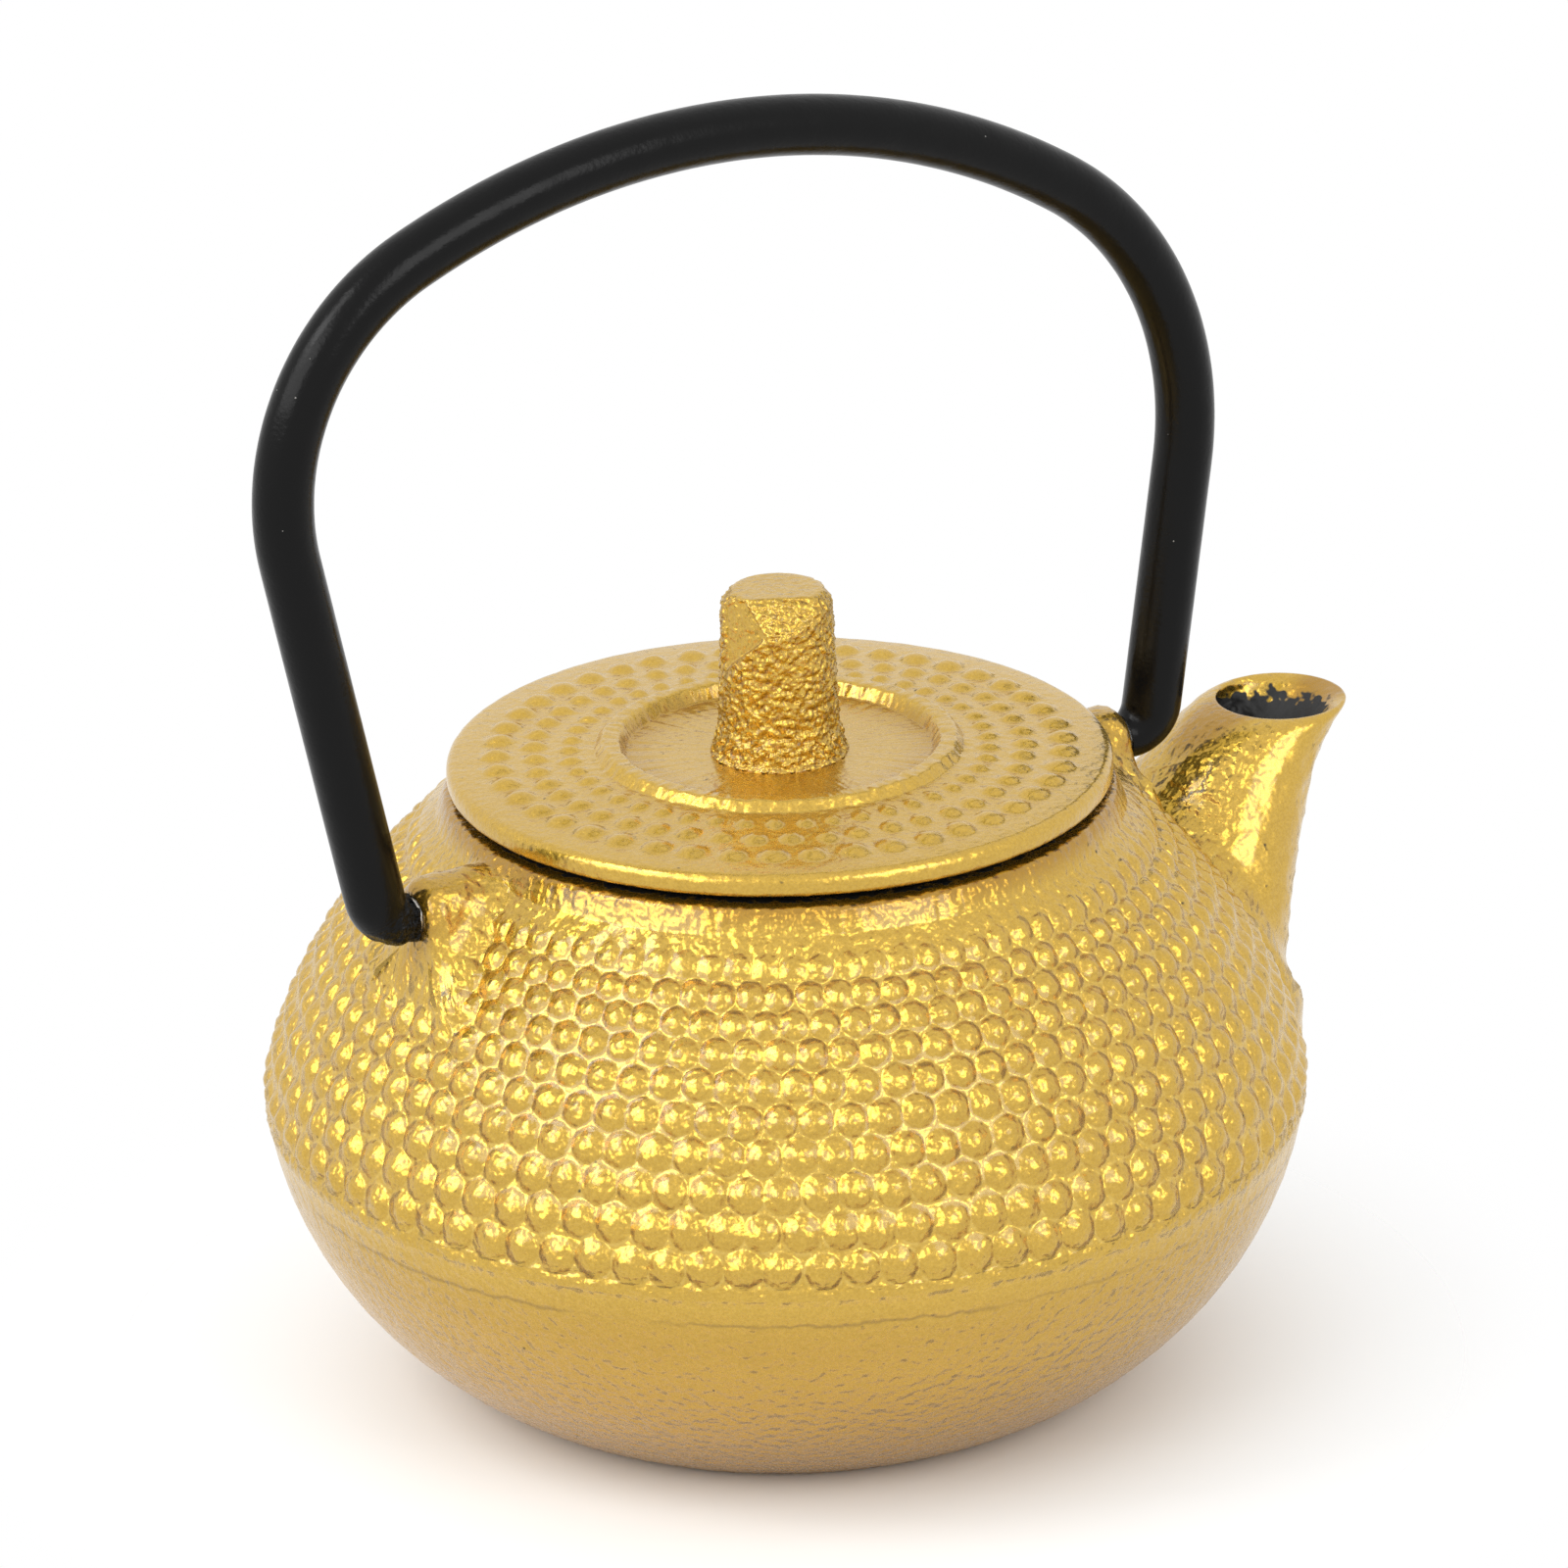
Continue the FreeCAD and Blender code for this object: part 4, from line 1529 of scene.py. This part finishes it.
def dressSteel():
    wire = steelMaterial("drawnWireSteel", (0.02, 1, 0.02))
    sheet = steelMaterial("infuserSheetSteel", (1, 1, 0.05))
    for node in ("bail_wire", "infuser_rim", "infuser_mesh", "infuser_base"):
        frame["nodes"][node].data.materials.clear()
        frame["nodes"][node].data.materials.append(wire if node == "bail_wire" else sheet)
    print("steel dressed")


dressSteel()


# Camera at the photograph's place: degrees and millimetres
cameraView = {
    "azimuth": -32.351,
    "elevation": 21.447,
    "roll": 1.077,
    "distance": 779.5,
    "lens": 270.0,
    "aimRight": 0.255,
    "aimHeight": 41.055,
}


def towards(azimuth, elevation):
    side, rise = turned(azimuth), turned(elevation)
    return Vector((side.y * rise.x, -side.x * rise.x, rise.y))


def makeCamera():
    back = towards(cameraView["azimuth"], cameraView["elevation"])
    right = Vector((*turned(cameraView["azimuth"]), 0))
    up = back.cross(right)
    aim = right * cameraView["aimRight"] + Vector((0, 0, cameraView["aimHeight"]))
    cosine, sine = turned(cameraView["roll"])
    camera = addObject("camera", bpy.data.cameras.new("camera"))
    camera.data.lens = cameraView["lens"]
    camera.data.clip_start = 0.01
    pose = Matrix((right * cosine - up * sine, right * sine + up * cosine, back)).transposed().to_4x4()
    pose.translation = (aim + back * cameraView["distance"]) * mm
    camera.matrix_world = pose
    bpy.context.scene.camera = camera


makeCamera()


# Studio: pale floor, white surroundings, soft lamps
studio = {
    "floorSize": 3.0,
    "floorColour": (0.92, 0.92, 0.92, 1),
    "floorRoughness": 0.7,
    "floorNear": 0.021,
    "floorFar": 0.058,
    "white": (1, 1, 1, 1),
    "fill": 0.94,
    "lampAim": (0, 0, 0.04),
    "lamps": {
        "leftLamp": {"view": (-88.0, 33.0), "distance": 1.0, "size": (0.95, 0.5), "power": 4.5},
        "rightLamp": {"view": (10.0, 33.0), "distance": 1.0, "size": (0.5, 0.5), "power": 2.5},
        "highLamp": {"view": (-100.0, 52.0), "distance": 0.9, "size": (0.3, 0.3), "power": 1.6},
    },
}


def makeWorld():  # white to the camera and in reflections, a little less as light
    world = bpy.data.worlds.new("studio")
    bpy.context.scene.world = world
    world.use_nodes = True
    tree = world.node_tree
    fill = tree.nodes["Background"]
    feedAll(tree, fill, {"Color": studio["white"], "Strength": studio["fill"]})
    white = flow(tree, "ShaderNodeBackground", {"Color": studio["white"], "Strength": 1.0})
    rays = outputsOf(tree, tree.nodes.new("ShaderNodeLightPath"))
    seen = calc(tree, "MAXIMUM", rays["Is Camera Ray"], rays["Is Glossy Ray"])
    seen = calc(tree, "MAXIMUM", seen, rays["Is Transmission Ray"])
    mix = tree.nodes.new("ShaderNodeMixShader")
    for socket, value in zip(mix.inputs, (seen, Flow(tree, fill.outputs[0]), white)):
        feed(tree, socket, value)
    feed(tree, tree.nodes["World Output"].inputs["Surface"], Flow(tree, mix.outputs[0]))


def makeFloor():
    half = studio["floorSize"] / 2 / mm
    corners = [(-half, -half, 0), (half, -half, 0), (half, half, 0), (-half, half, 0)]
    floor = newPiece("floor", corners, [(0, 1, 2, 3)])
    material, tree, shader = newMaterial("paleFloor")
    away = flow(tree, "ShaderNodeVectorMath", {"Vector": objectPlace(tree)}, "Value", operation="LENGTH")
    near = stretch(tree, away, studio["floorFar"], studio["floorNear"], curve="SMOOTHSTEP")
    look = {"Base Color": studio["floorColour"], "Roughness": studio["floorRoughness"], "Alpha": near}
    feedAll(tree, shader, look)
    floor.data.materials.append(material)


def makeLamps():
    for name, lamp in studio["lamps"].items():
        light = bpy.data.lights.new(name, "AREA")
        light.shape = "RECTANGLE"
        light.size, light.size_y = lamp["size"]
        light.energy = lamp["power"]
        holder = addObject(name, light)
        holder.location = towards(*lamp["view"]) * lamp["distance"]
        aim = Vector(studio["lampAim"]) - holder.location
        holder.rotation_euler = aim.to_track_quat("-Z", "Y").to_euler()


makeWorld()
makeFloor()
makeLamps()
bpy.context.scene.view_settings.view_transform = "Standard"
print("studio lit")

bpy.context.view_layer.update()
